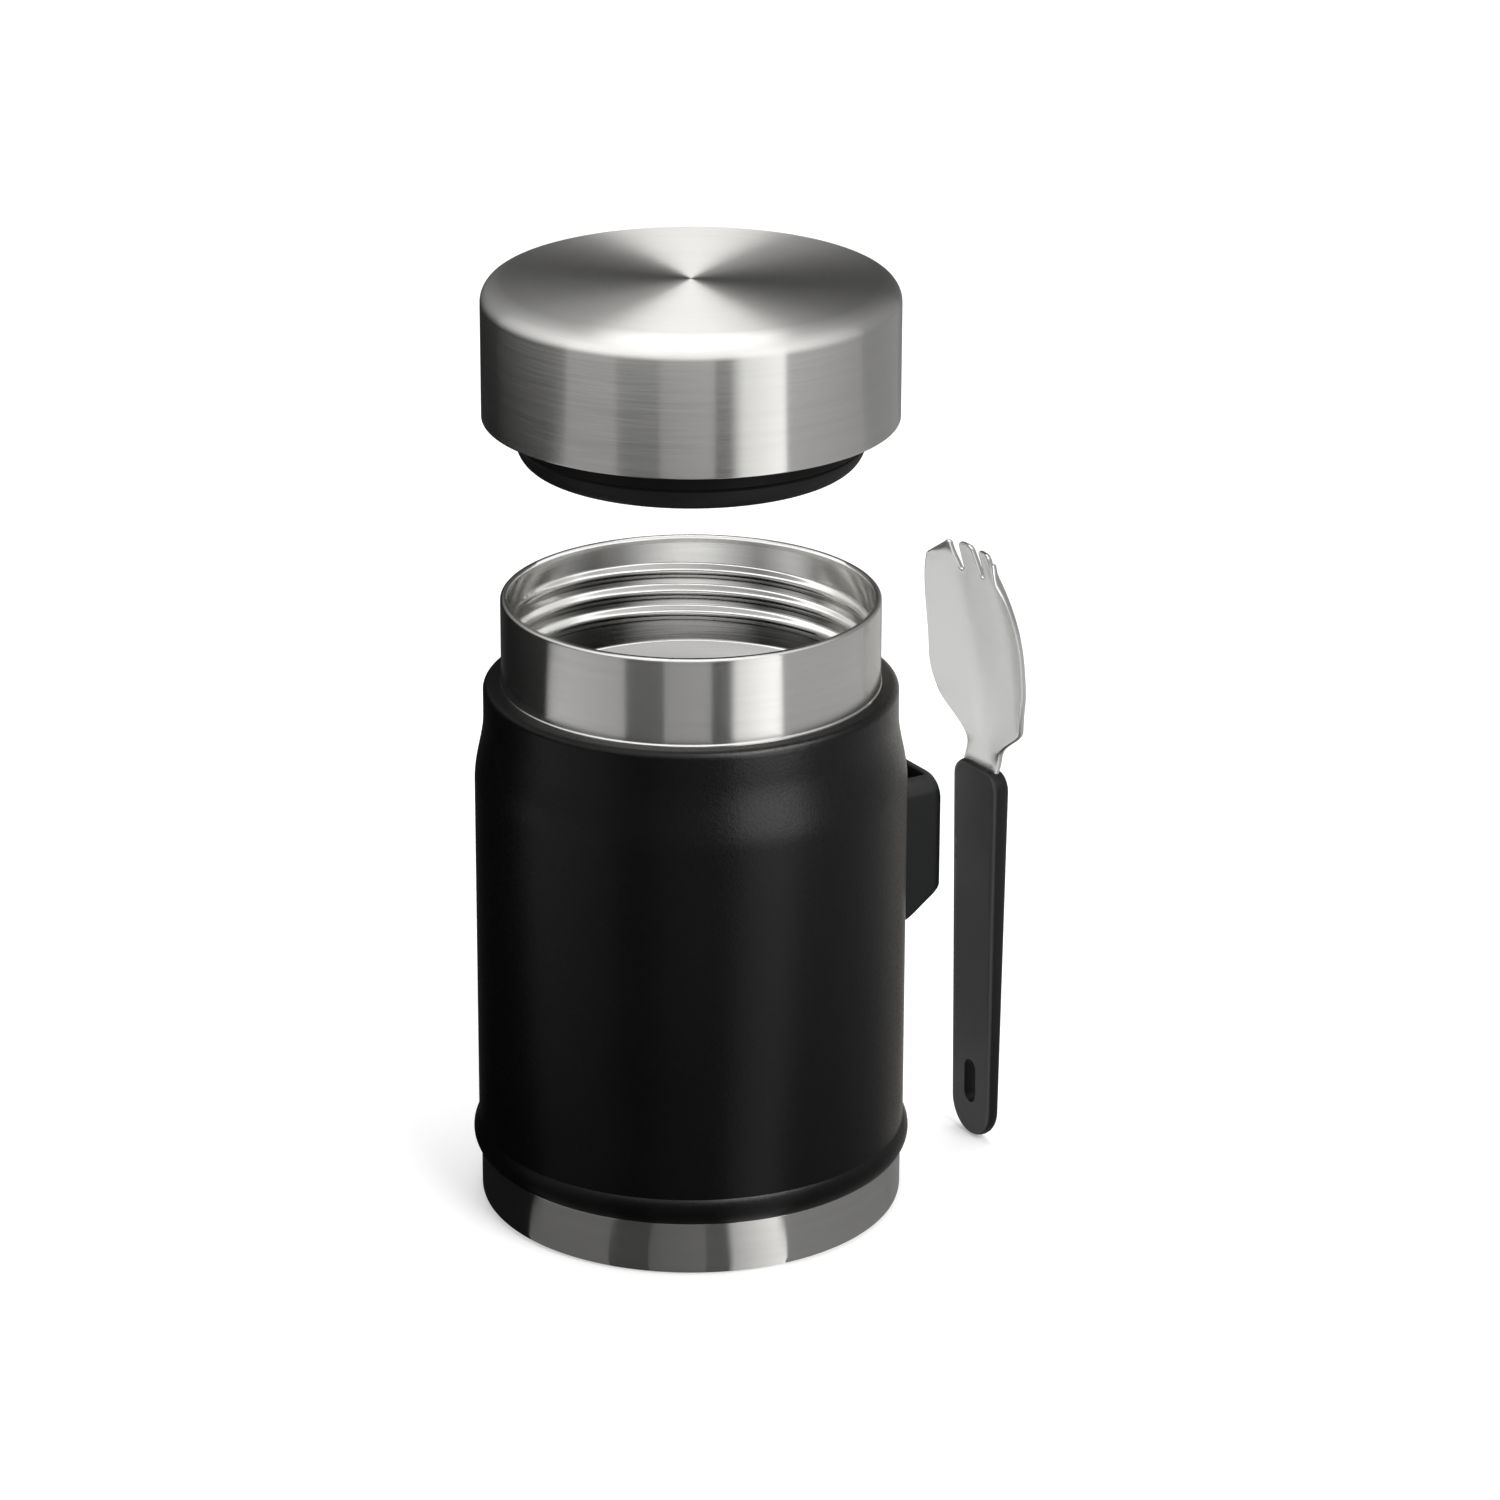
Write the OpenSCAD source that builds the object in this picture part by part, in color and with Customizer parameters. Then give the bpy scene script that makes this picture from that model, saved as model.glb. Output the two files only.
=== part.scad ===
// Insulated food jar with a screw lid and a spork that is kept in a holder on its side.
// Origin: centre of the foot ring, on the jar's axis. +Z is up and +X runs out through the holder.
// The lid is drawn unscrewed and lifted, and the spork stands out of its holder.

/* [Jar body] */
// Outer diameter of the coated wall
body_d = 88; // [80:1:100]
// Height of the shoulder's flat top above the table
shoulder_z = 112.2; // [100:0.1:150]
// How far the shoulder is set in from the wall
shoulder_inset = 1.9; // [0.5:0.1:4]
// Height over which the shoulder flares out to the wall
flare_h = 14; // [10:0.5:20]
// Straight stretch between the shoulder's edge and the flare
shoulder_band = 5.3; // [3:0.1:10]
// Sheet thickness of every steel shell
sheet = 0.6; // [0.4:0.05:0.8]

/* [Rolled bead] */
// Height of the bead
bead_h = 5.2; // [3:0.1:8]
// How far the bead stands out of the wall
bead_out = 1.1; // [0.5:0.1:2]

/* [Base] */
// Height of the bare steel base band
base_h = 11.5; // [8:0.1:16]
// How much the base band is set in from the wall
base_inset = 0.5; // [0.3:0.1:1.5]
// Radius of the bottom corner
base_corner = 1.8; // [1:0.1:2.5]
// Width of the foot ring's flat face
foot_w = 3.7; // [2:0.1:8]
// Depth of the recess inside the foot ring
foot_recess = 1.2; // [0.5:0.1:2]

/* [Neck and mouth] */
// How far the bare steel neck is set in from the shoulder
neck_inset = 3.7; // [2.8:0.1:8]
// Height of the neck above the shoulder
neck_h = 18.3; // [15:0.1:25]
// Gap in the vacuum between the neck and the liner
vacuum_gap = 0.3; // [0.2:0.05:0.6]
// Depth of the gasket's ledge below the rim
ledge_depth = 25.5; // [20:0.1:32]
// Height of the sloping ledge
ledge_h = 3.2; // [2:0.1:5]
// How far the ledge comes in from the threaded wall
ledge_w = 2.9; // [2.5:0.1:4]

/* [Food cavity] */
// Height of the cavity's floor
floor_z = 10; // [8:0.5:20]
// Corner radius of the cavity's floor
floor_round = 9; // [4:0.5:12]

/* [Screw thread] */
// Lead of the thread
lead = 4.6; // [4:0.1:5]
// Depth of the ridge rolled into the liner
inner_ridge = 1.1; // [0.8:0.05:1.3]
// Depth of the ridge on the plug
outer_ridge = 1.1; // [0.8:0.05:1.3]
// Radial clearance from each ridge to the wall it faces
thread_gap = 0.5; // [0.4:0.05:0.8]
// Turns from closed to the height at which the lid is drawn
open_turns = 12; // [10:1:14]

/* [Lid] */
// Wall of the inner cap's skirt
skirt_t = 1.85; // [1.2:0.05:3]
// Thickness of the foam over the inner cap's roof
foam_h = 6.2; // [5:0.1:14]
// Radius of the cap's top edge
lid_round = 4.5; // [2:0.1:6]
// Gap between the closed lid and the shoulder
lid_gap = 0.8; // [0.5:0.1:2]
// Radial gap between the neck and the inner cap's skirt
neck_gap = 0.8; // [0.5:0.1:1.2]
// Radius over which the gasket's lower edge is rounded
gasket_round = 4.1; // [3:0.1:5]
// Height of the gasket
gasket_h = 5.3; // [4:0.1:7]

/* [Spork holder] */
// Wall of the holder at each end of its slot
holder_side = 3.3; // [2:0.1:6]
// Depth of the holder's top below the flare's lower end
holder_drop = 7; // [1:0.5:20]
// Height of the holder at the wall
holder_h = 31; // [27:0.5:40]
// Wall of the holder outside its slot
holder_wall = 3.4; // [2:0.1:4]
// Gap between the jar's wall and the slot
slot_back = 2.9; // [2.6:0.1:5]
// Clearance round the spork's handle in the slot, on each side
slot_gap = 0.4; // [0.3:0.05:0.8]

/* [Spork] */
// Length of the handle
handle_h = 84.1; // [70:0.1:100]
// Width of the handle at its top
handle_w = 16.2; // [14:0.1:18]
// Thickness of the handle at its top
handle_t = 3.7; // [3:0.1:4.5]
// How much narrower the handle is at its lower end
handle_taper_w = 2; // [0:0.1:3]
// How much thinner the handle is at its lower end
handle_taper_t = 1; // [0:0.1:1.2]
// Length of the steel head above the handle
head_h = 48.7; // [40:0.1:60]
// Width of the head
head_w = 35; // [30:0.1:42]
// Sheet thickness of the head
head_t = 1.2; // [1:0.1:1.6]
// Distance between the slits of the tines
tine_pitch = 6.9; // [5:0.1:8]
// How far out from its slot the spork stands
aside_out = 15.7; // [12:0.1:40]
// How far round to the side it stands
aside_side = -9.4; // [-30:0.1:30]
// Height at which it stands above the table
aside_up = 0.2; // [0.2:0.1:2]

/* [Hidden] */
$fn = 96;

// Finishes
COATING = "#141414";
STEEL = "#b8b8b4";
PLASTIC = "#2b2c2d";
RUBBER = "#1c1c1c";
COPPER = "#b87a50";
FOAM = "#e8dfc4";
GLUE = "#d8d8d0";

// Shell
body_r = body_d / 2;
shoulder_r = body_r - shoulder_inset;
shoulder_round = 1.4;
flare_top = shoulder_z - shoulder_round - shoulder_band;
flare_bottom = flare_top - flare_h;
base_r = body_r - base_inset;
base_join = 0.3;                              // seam between the coating and the base band
bead_z = base_h + base_join + bead_h / 2;
tuck_r = base_r - sheet - 0.1;                // the shell's lower end, tucked into the base cup
tuck_z = 4;

// Foot ring, and what is hidden under the vacuum
foot_in = base_r - base_corner - foot_w;
foot_slope = 0.8;
base_bond_r = foot_in - 6;
base_bond_w = 6;
dimple_r = 4;
dimple_slope = 2;
dimple_z = tuck_z + 0.4;
vent_r = 0.8;                                 // evacuation hole
seal_r = 3;
seal_h = 1.2;
getter_x = 18;

// Neck, rim and liner
neck_r = shoulder_r - neck_inset;
rim_t = 2 * sheet + vacuum_gap;               // neck and liner, rolled together
rim_z = shoulder_z + neck_h;
mouth_r = neck_r - rim_t;
ledge_z = rim_z - ledge_depth;
cavity_r = mouth_r - ledge_w;
liner_split = floor_z + floor_round + 3;      // where the liner's drawn bottom is welded on

// Thread
crest_in = mouth_r - inner_ridge;             // crest of the liner's ridge
core_r = crest_in - thread_gap;               // the plug's core
crest_out = core_r + outer_ridge;             // crest of the plug's ridge
ridge_root_w = 2.0;
ridge_crest_w = 0.9;
ridge_sink = sheet / 2;                       // how far a ridge's root runs into its wall
ridge_swell = 5;                              // steps over which a ridge swells from nothing
thread_top = rim_z - 5;                       // middle of the liner's ridge at its upper end
thread_foot = 4.42;                           // height of its lower end above the ledge
inner_turns = (thread_top - ledge_z - ledge_h - thread_foot) / lead;
thread_end_az = 126;                          // azimuth at which the liner's ridge runs out
RIDGE_STEPS = 36;                             // facets in one turn of a ridge

// Lid, with heights counted from the skirt's bottom edge
lid_closed_z = shoulder_z + lid_gap;
lid_z = lid_closed_z + open_turns * lead;
cap_in_r = neck_r + neck_gap;                 // inside of the inner cap's skirt
cap_r = cap_in_r + skirt_t;                   // outside of the inner cap
cap_fit = 0.05;                               // press fit of the inner cap in the steel
lid_r = cap_r + cap_fit + sheet;
cap_bottom = 1;
channel_top = rim_z - lid_closed_z + 1.1;     // roof of the channel that the neck enters
roof_t = 2.4;
roof_z = channel_top + roof_t;
plug_wall = 2;
bond_t = 0.4;
bond_in_r = 20;
foam_top = roof_z + foam_h;
foam_edge = 0.5;                              // gap round the foam
lid_h = foam_top + bond_t + sheet;
gasket_r = cavity_r + 1.0;                    // widest radius of the gasket
gasket_bottom = ledge_z - lid_closed_z - 1.5;
gasket_top = gasket_bottom + gasket_h;
gasket_core_r = gasket_r - gasket_round + 1.35;
gasket_fit = 0.1;                             // running gap between gasket and plug
gasket_lip = 1.2;                             // lip of the plug that the gasket sits above
seat_r = gasket_core_r - gasket_fit;          // the plug's groove for the gasket
plug_bottom = gasket_bottom + gasket_lip - 1;
plug_floor = plug_bottom + 2;                 // inner face of the plug's floor

// The plug's ridge lies half a lead under the liner's once the lid is closed
plug_thread_top = thread_top - lid_closed_z - lead / 2;
plug_thread_foot = 3.26;                      // height of its lower end above the gasket's groove
outer_turns = (plug_thread_top - gasket_top - gasket_fit - plug_thread_foot) / lead;

// Holder and spork
holder_x = body_r + slot_back;                // inner face of the slot
slot_w = handle_w + 2 * slot_gap;
slot_t = handle_t + 2 * slot_gap;
holder_w = slot_w + 2 * holder_side;
holder_z = flare_bottom - holder_drop;
holder_low = holder_z - holder_h;
holder_out = holder_x + slot_t + holder_wall;
holder_chamfer = 2.4;                         // how far the top lip draws in
holder_lip_h = 5;                             // height over which it draws in
holder_slant = 5.5;                           // how much shorter the holder is at its outer face
holder_corner = 3.5;
plate_w = 12;
plate_h = holder_h - 13;
plate_t = 1;
plate_z = holder_z - (holder_h + plate_h) / 2;
wall_x = body_r - 3;                          // where the holder's block starts, inside the wall
slot_x = holder_x + slot_t / 2;
spork_x = slot_x + aside_out;
spork_y = aside_side;
spork_z = aside_up;

// Arc of radius r round c from angle a0 to a1 in n steps
function arc(c, r, a0, a1, n) =
    [for (i = [0:n]) let (a = a0 + (a1 - a0) * i / n) [c[0] + r * cos(a), c[1] + r * sin(a)]];

function reversed(list) = [for (i = [len(list) - 1:-1:0]) list[i]];

// Smooth step from 0 at a to 1 at b
function step01(a, b, x) = let (u = max(0, min(1, (x - a) / (b - a)))) u * u * (3 - 2 * u);

function bezier(p, t) = pow(1 - t, 3) * p[0] + 3 * pow(1 - t, 2) * t * p[1]
                      + 3 * (1 - t) * t * t * p[2] + t * t * t * p[3];

module lathe(points) {
    rotate_extrude() polygon(points);
}

module ring(r_out, r_in, z0, z1) {
    lathe([[r_in, z0], [r_out, z0], [r_out, z1], [r_in, z1]]);
}

// The wall's outline from the shoulder down to the base seam, moved inwards by d
function wall_line(d) = let (
    bead_arc_r = (pow(bead_h / 2, 2) + pow(bead_out, 2)) / (2 * bead_out),
    bead_half = asin(bead_h / 2 / bead_arc_r),
    bead_c = [body_r + bead_out - bead_arc_r - d, bead_z])
    concat(
        [[neck_r - sheet, shoulder_z - d]],
        arc([shoulder_r - shoulder_round, shoulder_z - shoulder_round], shoulder_round - d, 90, 0, 5),
        [for (i = [0:12]) let (u = i / 12)
            [shoulder_r - d + (body_r - shoulder_r) * (1 - cos(180 * u)) / 2, flare_top - flare_h * u]],
        arc(bead_c, bead_arc_r, bead_half, -bead_half, 10));

// Drawn steel shell with the rounded shoulder, the bead and the end tucked into the base
module outer_shell() {
    color(COATING) lathe(concat(
        wall_line(0),
        [[body_r - 0.1, base_h + base_join], [tuck_r, base_h + base_join], [tuck_r, tuck_z],
         [tuck_r - sheet, tuck_z], [tuck_r - sheet, base_h + base_join + sheet]],
        reversed(wall_line(sheet))));
}

// Bare steel neck, rolled over at the rim to meet the liner
module neck_band() {
    color(STEEL) lathe(concat(
        [[neck_r - sheet, shoulder_z], [neck_r, shoulder_z]],
        arc([neck_r - rim_t / 2, rim_z - rim_t / 2], rim_t / 2, 0, 180, 12),
        [[mouth_r, rim_z - rim_t], [neck_r - sheet, rim_z - rim_t]]));
}

// One helical ridge from its low end up; it swells from nothing over its first and last steps
module ridge(root_r, crest_r, z_end, az_end, turns) {
    steps = round(turns * RIDGE_STEPS);
    inward = crest_r < root_r;
    points = [for (i = [0:steps]) let (
        az = az_end - (steps - i) * 360 / RIDGE_STEPS,
        z = z_end - (steps - i) * lead / RIDGE_STEPS,
        swell = min(1, (i + 0.4) / ridge_swell, (steps - i + 0.4) / ridge_swell),
        crest = root_r + (crest_r - root_r) * swell,
        section = [[root_r, -ridge_root_w / 2], [crest, -ridge_crest_w / 2],
                   [crest, ridge_crest_w / 2], [root_r, ridge_root_w / 2]])
        each [for (p = section) [p[0] * cos(az), p[0] * sin(az), z + p[1]]]];
    sides = [for (i = [0:steps - 1], k = [0:3]) let (
        a = 4 * i + k, b = 4 * i + (k + 1) % 4)
        inward ? [a, a + 4, b + 4, b] : [a, b, b + 4, a + 4]];
    low = inward ? [0, 1, 2, 3] : [3, 2, 1, 0];
    high = [for (k = low) 4 * steps + 3 - k];
    polyhedron(points, concat([low, high], sides), convexity = 8);
}

// Inner steel wall with the rolled thread, the gasket's ledge and the food cavity
module inner_liner() {
    color(STEEL) {
        lathe([[mouth_r, rim_z - rim_t], [mouth_r, ledge_z + ledge_h], [cavity_r, ledge_z],
               [cavity_r, liner_split], [cavity_r + sheet, liner_split],
               [cavity_r + sheet, ledge_z], [mouth_r + sheet, ledge_z + ledge_h],
               [mouth_r + sheet, rim_z - rim_t]]);
        ridge(mouth_r + ridge_sink, crest_in, thread_top, thread_end_az, inner_turns);
    }
}

// Drawn bottom of the liner, welded to its wall
module liner_bottom() {
    in_c = [cavity_r - floor_round, floor_z + floor_round];
    color(STEEL) lathe(concat(
        [[cavity_r + sheet, liner_split], [cavity_r, liner_split]],
        arc(in_c, floor_round, 0, -90, 8),
        [[0, floor_z], [0, floor_z - sheet]],
        arc(in_c, floor_round + sheet, -90, 0, 8)));
}

// Metal foil wrapped round the liner inside the vacuum
module heat_foil() {
    color(COPPER) ring(cavity_r + sheet + 0.3, cavity_r + sheet, liner_split + 1, ledge_z - 3);
}

// Welded bottom that closes the vacuum, with a dimple for the seal
module shell_bottom() {
    color(STEEL) difference() {
        lathe([[0, dimple_z], [dimple_r, dimple_z], [dimple_r + dimple_slope, tuck_z],
               [tuck_r - sheet, tuck_z], [tuck_r - sheet, tuck_z + sheet],
               [dimple_r + dimple_slope + 0.5, tuck_z + sheet],
               [dimple_r + 0.5, dimple_z + sheet], [0, dimple_z + sheet]]);
        translate([0, 0, tuck_z]) cylinder(r = vent_r, h = 4);
    }
}

// Pill that soaks up stray gas in the vacuum
module getter() {
    color(STEEL) translate([getter_x, 0, tuck_z + sheet]) cylinder(r = 5, h = 2.2);
}

// Seal of the evacuation hole
module seal_bead() {
    color(GLUE) {
        translate([0, 0, dimple_z - seal_h]) cylinder(r = seal_r, h = seal_h);
        translate([0, 0, dimple_z - seal_h / 2]) cylinder(r = vent_r, h = seal_h / 2 + sheet + 0.4);
    }
}

// Ring of adhesive that holds the base cup on
module base_bond() {
    color(GLUE) ring(base_bond_r, base_bond_r - base_bond_w, foot_recess + sheet, tuck_z);
}

// Brushed steel base with its foot ring
module base_cup() {
    corner = [base_r - base_corner, base_corner];
    color(STEEL) lathe(concat(
        [[0, foot_recess], [foot_in - foot_slope, foot_recess], [foot_in, 0]],
        arc(corner, base_corner, -90, 0, 6),
        [[base_r, base_h], [base_r - sheet, base_h]],
        arc(corner, base_corner - sheet, 0, -90, 6),
        [[foot_in + 0.3, sheet], [foot_in - 0.5, foot_recess + sheet], [0, foot_recess + sheet]]));
}

// Steel plate welded to the wall, which carries the holder
module holder_plate() {
    color(STEEL) difference() {
        plate_block();
        translate([0, 0, plate_z - 1]) cylinder(r = body_r, h = plate_h + 2);
    }
}

// The plate, filled in behind as far as the middle of the wall
module plate_block() {
    translate([0, 0, plate_z]) intersection() {
        cylinder(r = body_r + plate_t, h = plate_h);
        translate([wall_x, -plate_w / 2, 0]) cube([body_r, plate_w, plate_h]);
    }
}

// Outline of the holder in plan
module holder_plan() {
    corner_x = holder_out - holder_corner;
    corner_y = holder_w / 2 - holder_corner;
    polygon([[wall_x, -holder_w / 2], [corner_x, -holder_w / 2], [holder_out, -corner_y],
             [holder_out, corner_y], [corner_x, holder_w / 2], [wall_x, holder_w / 2]]);
    for (side = [-1, 1]) translate([corner_x, side * corner_y]) circle(holder_corner);
}

// How far the lip is drawn in at the fraction t of its height: a little all the way, and then round
function holder_lip_in(t) = holder_chamfer * (0.12 * t + 0.88 * (1 - sqrt(max(0, 1 - t * t))));

// Plastic loop that the spork's handle is pushed down through
module spork_holder() {
    lip = [for (a = [0:11.25:90]) [holder_lip_in(sin(a)), holder_z - holder_lip_h * (1 - sin(a))]];
    color(PLASTIC) difference() {
        intersection() {
            translate([0, 0, holder_low]) linear_extrude(holder_h) holder_plan();
            // side outline, with the slanted bottom and the lip drawn in at the top
            rotate([90, 0, 0]) linear_extrude(holder_w + 2, center = true)
                polygon(concat([[wall_x, holder_low], [body_r, holder_low],
                                [holder_out - 1.5, holder_low + holder_slant - 1],
                                [holder_out, holder_low + holder_slant + 1]],
                               [for (p = lip) [holder_out - p[0], p[1]]], [[wall_x, holder_z]]));
            // front outline, with the lip drawn in at both ends
            rotate([90, 0, 90]) linear_extrude(holder_out + 1)
                polygon(concat([[-holder_w / 2, holder_low], [holder_w / 2, holder_low]],
                               [for (p = lip) [holder_w / 2 - p[0], p[1]]],
                               [for (p = reversed(lip)) [p[0] - holder_w / 2, p[1]]]));
        }
        translate([0, 0, holder_low - 1]) cylinder(r = body_r, h = holder_h + 2);
        translate([holder_x, -slot_w / 2, holder_low - 1]) cube([slot_t, slot_w, holder_h + 2]);
        plate_block();
    }
}

// Silicone ring that closes on the ledge; it rises with the lid but does not turn on it
module lid_gasket() {
    gasket_c = [gasket_r - gasket_round, lid_z + gasket_top];
    color(RUBBER) lathe(concat(
        [[gasket_core_r, lid_z + gasket_top]],
        [for (i = [0:8]) let (a = -90 * i / 8)
            [gasket_c[0] + gasket_round * cos(a), gasket_c[1] + (gasket_h - 0.4) * sin(a)]],
        [[gasket_c[0], lid_z + gasket_bottom + gasket_lip - gasket_fit],
         [gasket_core_r, lid_z + gasket_bottom + gasket_lip - gasket_fit]]));
}

// Spun steel cap
module lid_shell() {
    top = lid_z + lid_h;
    c = [lid_r - lid_round, top - lid_round];
    color(STEEL) lathe(concat(
        [[0, top]], arc(c, lid_round, 90, 0, 10),
        arc([lid_r - 1, lid_z + 1], 1, 0, -60, 4),
        [[lid_r - sheet, lid_z + 1.2]], arc(c, lid_round - sheet, 0, 90, 10), [[0, top - sheet]]));
}

// Inner cap: a skirt that lines the steel, a roof and the hollow threaded plug
module lid_plug() {
    lip_r = gasket_r - gasket_round - 0.3;
    bore_r = core_r - plug_wall;
    color(PLASTIC) translate([0, 0, lid_z]) {
        lathe([[0, plug_bottom], [lip_r, plug_bottom], [lip_r, gasket_bottom + gasket_lip],
               [seat_r, gasket_bottom + gasket_lip], [seat_r, gasket_top + gasket_fit],
               [core_r, gasket_top + gasket_fit], [core_r, channel_top], [cap_in_r, channel_top],
               [cap_in_r, cap_bottom], [cap_r, cap_bottom], [cap_r, roof_z], [bore_r, roof_z],
               [bore_r, gasket_top + 2], [seat_r - plug_wall, gasket_top],
               [seat_r - plug_wall, plug_floor], [0, plug_floor]]);
        ridge(core_r - ridge_sink, crest_out, plug_thread_top, thread_end_az, outer_turns);
    }
}

// Foam that fills the plug and the space under the cap
module lid_foam() {
    foam_r = cap_r - foam_edge;
    color(FOAM) translate([0, 0, lid_z])
        lathe([[0, plug_floor], [seat_r - plug_wall, plug_floor], [seat_r - plug_wall, gasket_top],
               [core_r - plug_wall, gasket_top + 2], [core_r - plug_wall, roof_z],
               [foam_r, roof_z], [foam_r, lid_h - lid_round],
               [lid_r - lid_round - foam_edge, foam_top], [0, foam_top]]);
}

// Ring of adhesive between the foam and the steel cap
module lid_bond() {
    low = lid_z + foam_top;
    color(GLUE) ring(lid_r - lid_round - 1, bond_in_r, low, low + bond_t);
}

// Spork, in its own frame: z up from the handle's lower end, x away from the jar, y across
head_neck_w = 12;
head_depth = 4.4;                             // how far the bowl's edges stand in from its middle
HEAD_ROWS = 22;
HEAD_COLS = 14;

// Half width of the head at height z above the handle: it swells out of the neck, fast and then
// slowly, and draws in towards the tines
function head_half(z) = let (
    u = z / head_h,
    swell = 0.63 * step01(0.065, 0.245, u) + 0.37 * step01(0.065, 0.435, u),
    draw_in = u > 0.52 ? pow((u - 0.52) / 0.48, 2.8) : 0,
    full = head_w / 2 * (1 - 0.48 * draw_in))
    head_neck_w / 2 + (full - head_neck_w / 2) * swell;

// Line along the middle of the bowl
function bowl_mid(t) =
    bezier([[0, 0], [0.23 * head_h, 4.7], [0.70 * head_h, 3.0], [head_h, -3.2]], t);

// How far the edges stand in from the middle line at height z
function edge_rise(z) = let (u = z / head_h)
    head_depth * step01(0, 0.38, u) * (1 - 0.87 * step01(0.9, 1.03, u));

module head_sheet() {
    face = [for (i = [0:HEAD_ROWS], j = [0:HEAD_COLS]) let (
        mid = bowl_mid(i / HEAD_ROWS),
        u = 2 * j / HEAD_COLS - 1)
        [mid[1] - edge_rise(mid[0]) * pow(abs(u), 2.6), u * head_half(mid[0]), mid[0]]];
    cols = HEAD_COLS + 1;
    n = len(face);
    back = [for (p = face) [p[0] + head_t / 2, p[1], p[2]]];
    front = [for (p = face) [p[0] - head_t / 2, p[1], p[2]]];
    quads = [for (i = [0:HEAD_ROWS - 1], j = [0:HEAD_COLS - 1]) let (a = i * cols + j)
        [a, a + 1, a + cols + 1, a + cols]];
    rim = concat([for (j = [0:HEAD_COLS]) j],
                 [for (i = [1:HEAD_ROWS]) i * cols + HEAD_COLS],
                 [for (j = [HEAD_COLS - 1:-1:0]) HEAD_ROWS * cols + j],
                 [for (i = [HEAD_ROWS - 1:-1:1]) i * cols]);
    wall = [for (k = [0:len(rim) - 1]) let (a = rim[k], b = rim[(k + 1) % len(rim)])
        each [[a, b, b + n], [a, b + n, a + n]]];
    tris = [for (q = quads) each [[q[0], q[1], q[2]], [q[0], q[2], q[3]]]];
    polyhedron(concat(back, front),
               concat([for (q = tris) reversed(q)], [for (q = tris) q + [n, n, n]], wall),
               convexity = 6);
}

// Tapered slits between the tines
slit_shift = -0.7;                            // how far the middle slit lies from the middle
slit_r = 0.6;
slit_top = 1.3;                               // half the width of a slit at the tips
tip_z = head_h - 0.4;
module tine_slits() {
    slit_z = 0.86 * head_h;
    for (k = [-1:1]) translate([0, slit_shift + k * tine_pitch, slit_z]) {
        rotate([0, 90, 0]) cylinder(r = slit_r, h = 30, center = true);
        rotate([90, 0, 90]) linear_extrude(30, center = true)
            polygon([[-slit_r, 0], [slit_r, 0], [slit_top, tip_z - slit_z],
                     [slit_top, head_h], [-slit_top, head_h], [-slit_top, tip_z - slit_z]]);
    }
}

// Room for the head under the cut that slants from its sides to the tips of the outer tines
module tine_cut() {
    cut_z = 0.9 * head_h;
    side = head_half(cut_z);
    tip = tine_pitch + slit_top;
    rotate([90, 0, 90]) linear_extrude(40, center = true)
        polygon([[-head_w, -1], [head_w, -1], [head_w, cut_z], [side, cut_z],
                 [slit_shift + tip, tip_z], [slit_shift - tip, tip_z], [-side, cut_z],
                 [-head_w, cut_z]]);
}

// Tang that the handle is moulded round
tang_w = 8;
tang_h = 40;
module tang() {
    translate([-head_t / 2, -tang_w / 2, handle_h - tang_h]) cube([head_t, tang_w, tang_h + 1]);
}

module spork_head() {
    color(STEEL) translate([spork_x, spork_y, spork_z]) {
        translate([0, 0, handle_h]) difference() {
            intersection() {
                head_sheet();
                tine_cut();
            }
            tine_slits();
        }
        tang();
    }
}

// Moulded handle with its hanging slot
module spork_handle() {
    low_r = (handle_w - handle_taper_w) / 2;
    top_round = 4;
    hang_r = 2.4;
    hang_z = [9.6, 15.2];
    color(PLASTIC) translate([spork_x, spork_y, spork_z]) difference() {
        intersection() {
            rotate([90, 0, 90]) linear_extrude(handle_t + 2, center = true) polygon(concat(
                arc([0, low_r], low_r, 180, 360, 16),
                arc([handle_w / 2 - top_round, handle_h - top_round], top_round, 0, 90, 6),
                arc([top_round - handle_w / 2, handle_h - top_round], top_round, 90, 180, 6)));
            rotate([90, 0, 0]) linear_extrude(handle_w + 2, center = true)
                polygon([[-(handle_t - handle_taper_t) / 2, 0], [(handle_t - handle_taper_t) / 2, 0],
                         [handle_t / 2, handle_h], [-handle_t / 2, handle_h]]);
        }
        tang();
        for (z = hang_z) translate([0, 0, z]) rotate([0, 90, 0])
            cylinder(r = hang_r, h = handle_t + 2, center = true);
        translate([-handle_t, -hang_r, hang_z[0]])
            cube([2 * handle_t, 2 * hang_r, hang_z[1] - hang_z[0]]);
    }
}

outer_shell();
neck_band();
inner_liner();
liner_bottom();
heat_foil();
shell_bottom();
getter();
seal_bead();
base_bond();
base_cup();
holder_plate();
spork_holder();
lid_gasket();
lid_shell();
lid_plug();
lid_foam();
lid_bond();
spork_head();
spork_handle();
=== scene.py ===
"""Insulated food jar: its screw lid lifted off, and its spork standing beside the side holder."""
import functools
import math

import bmesh
import bpy
import numpy as np
from mathutils import Matrix, Vector, geometry


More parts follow.
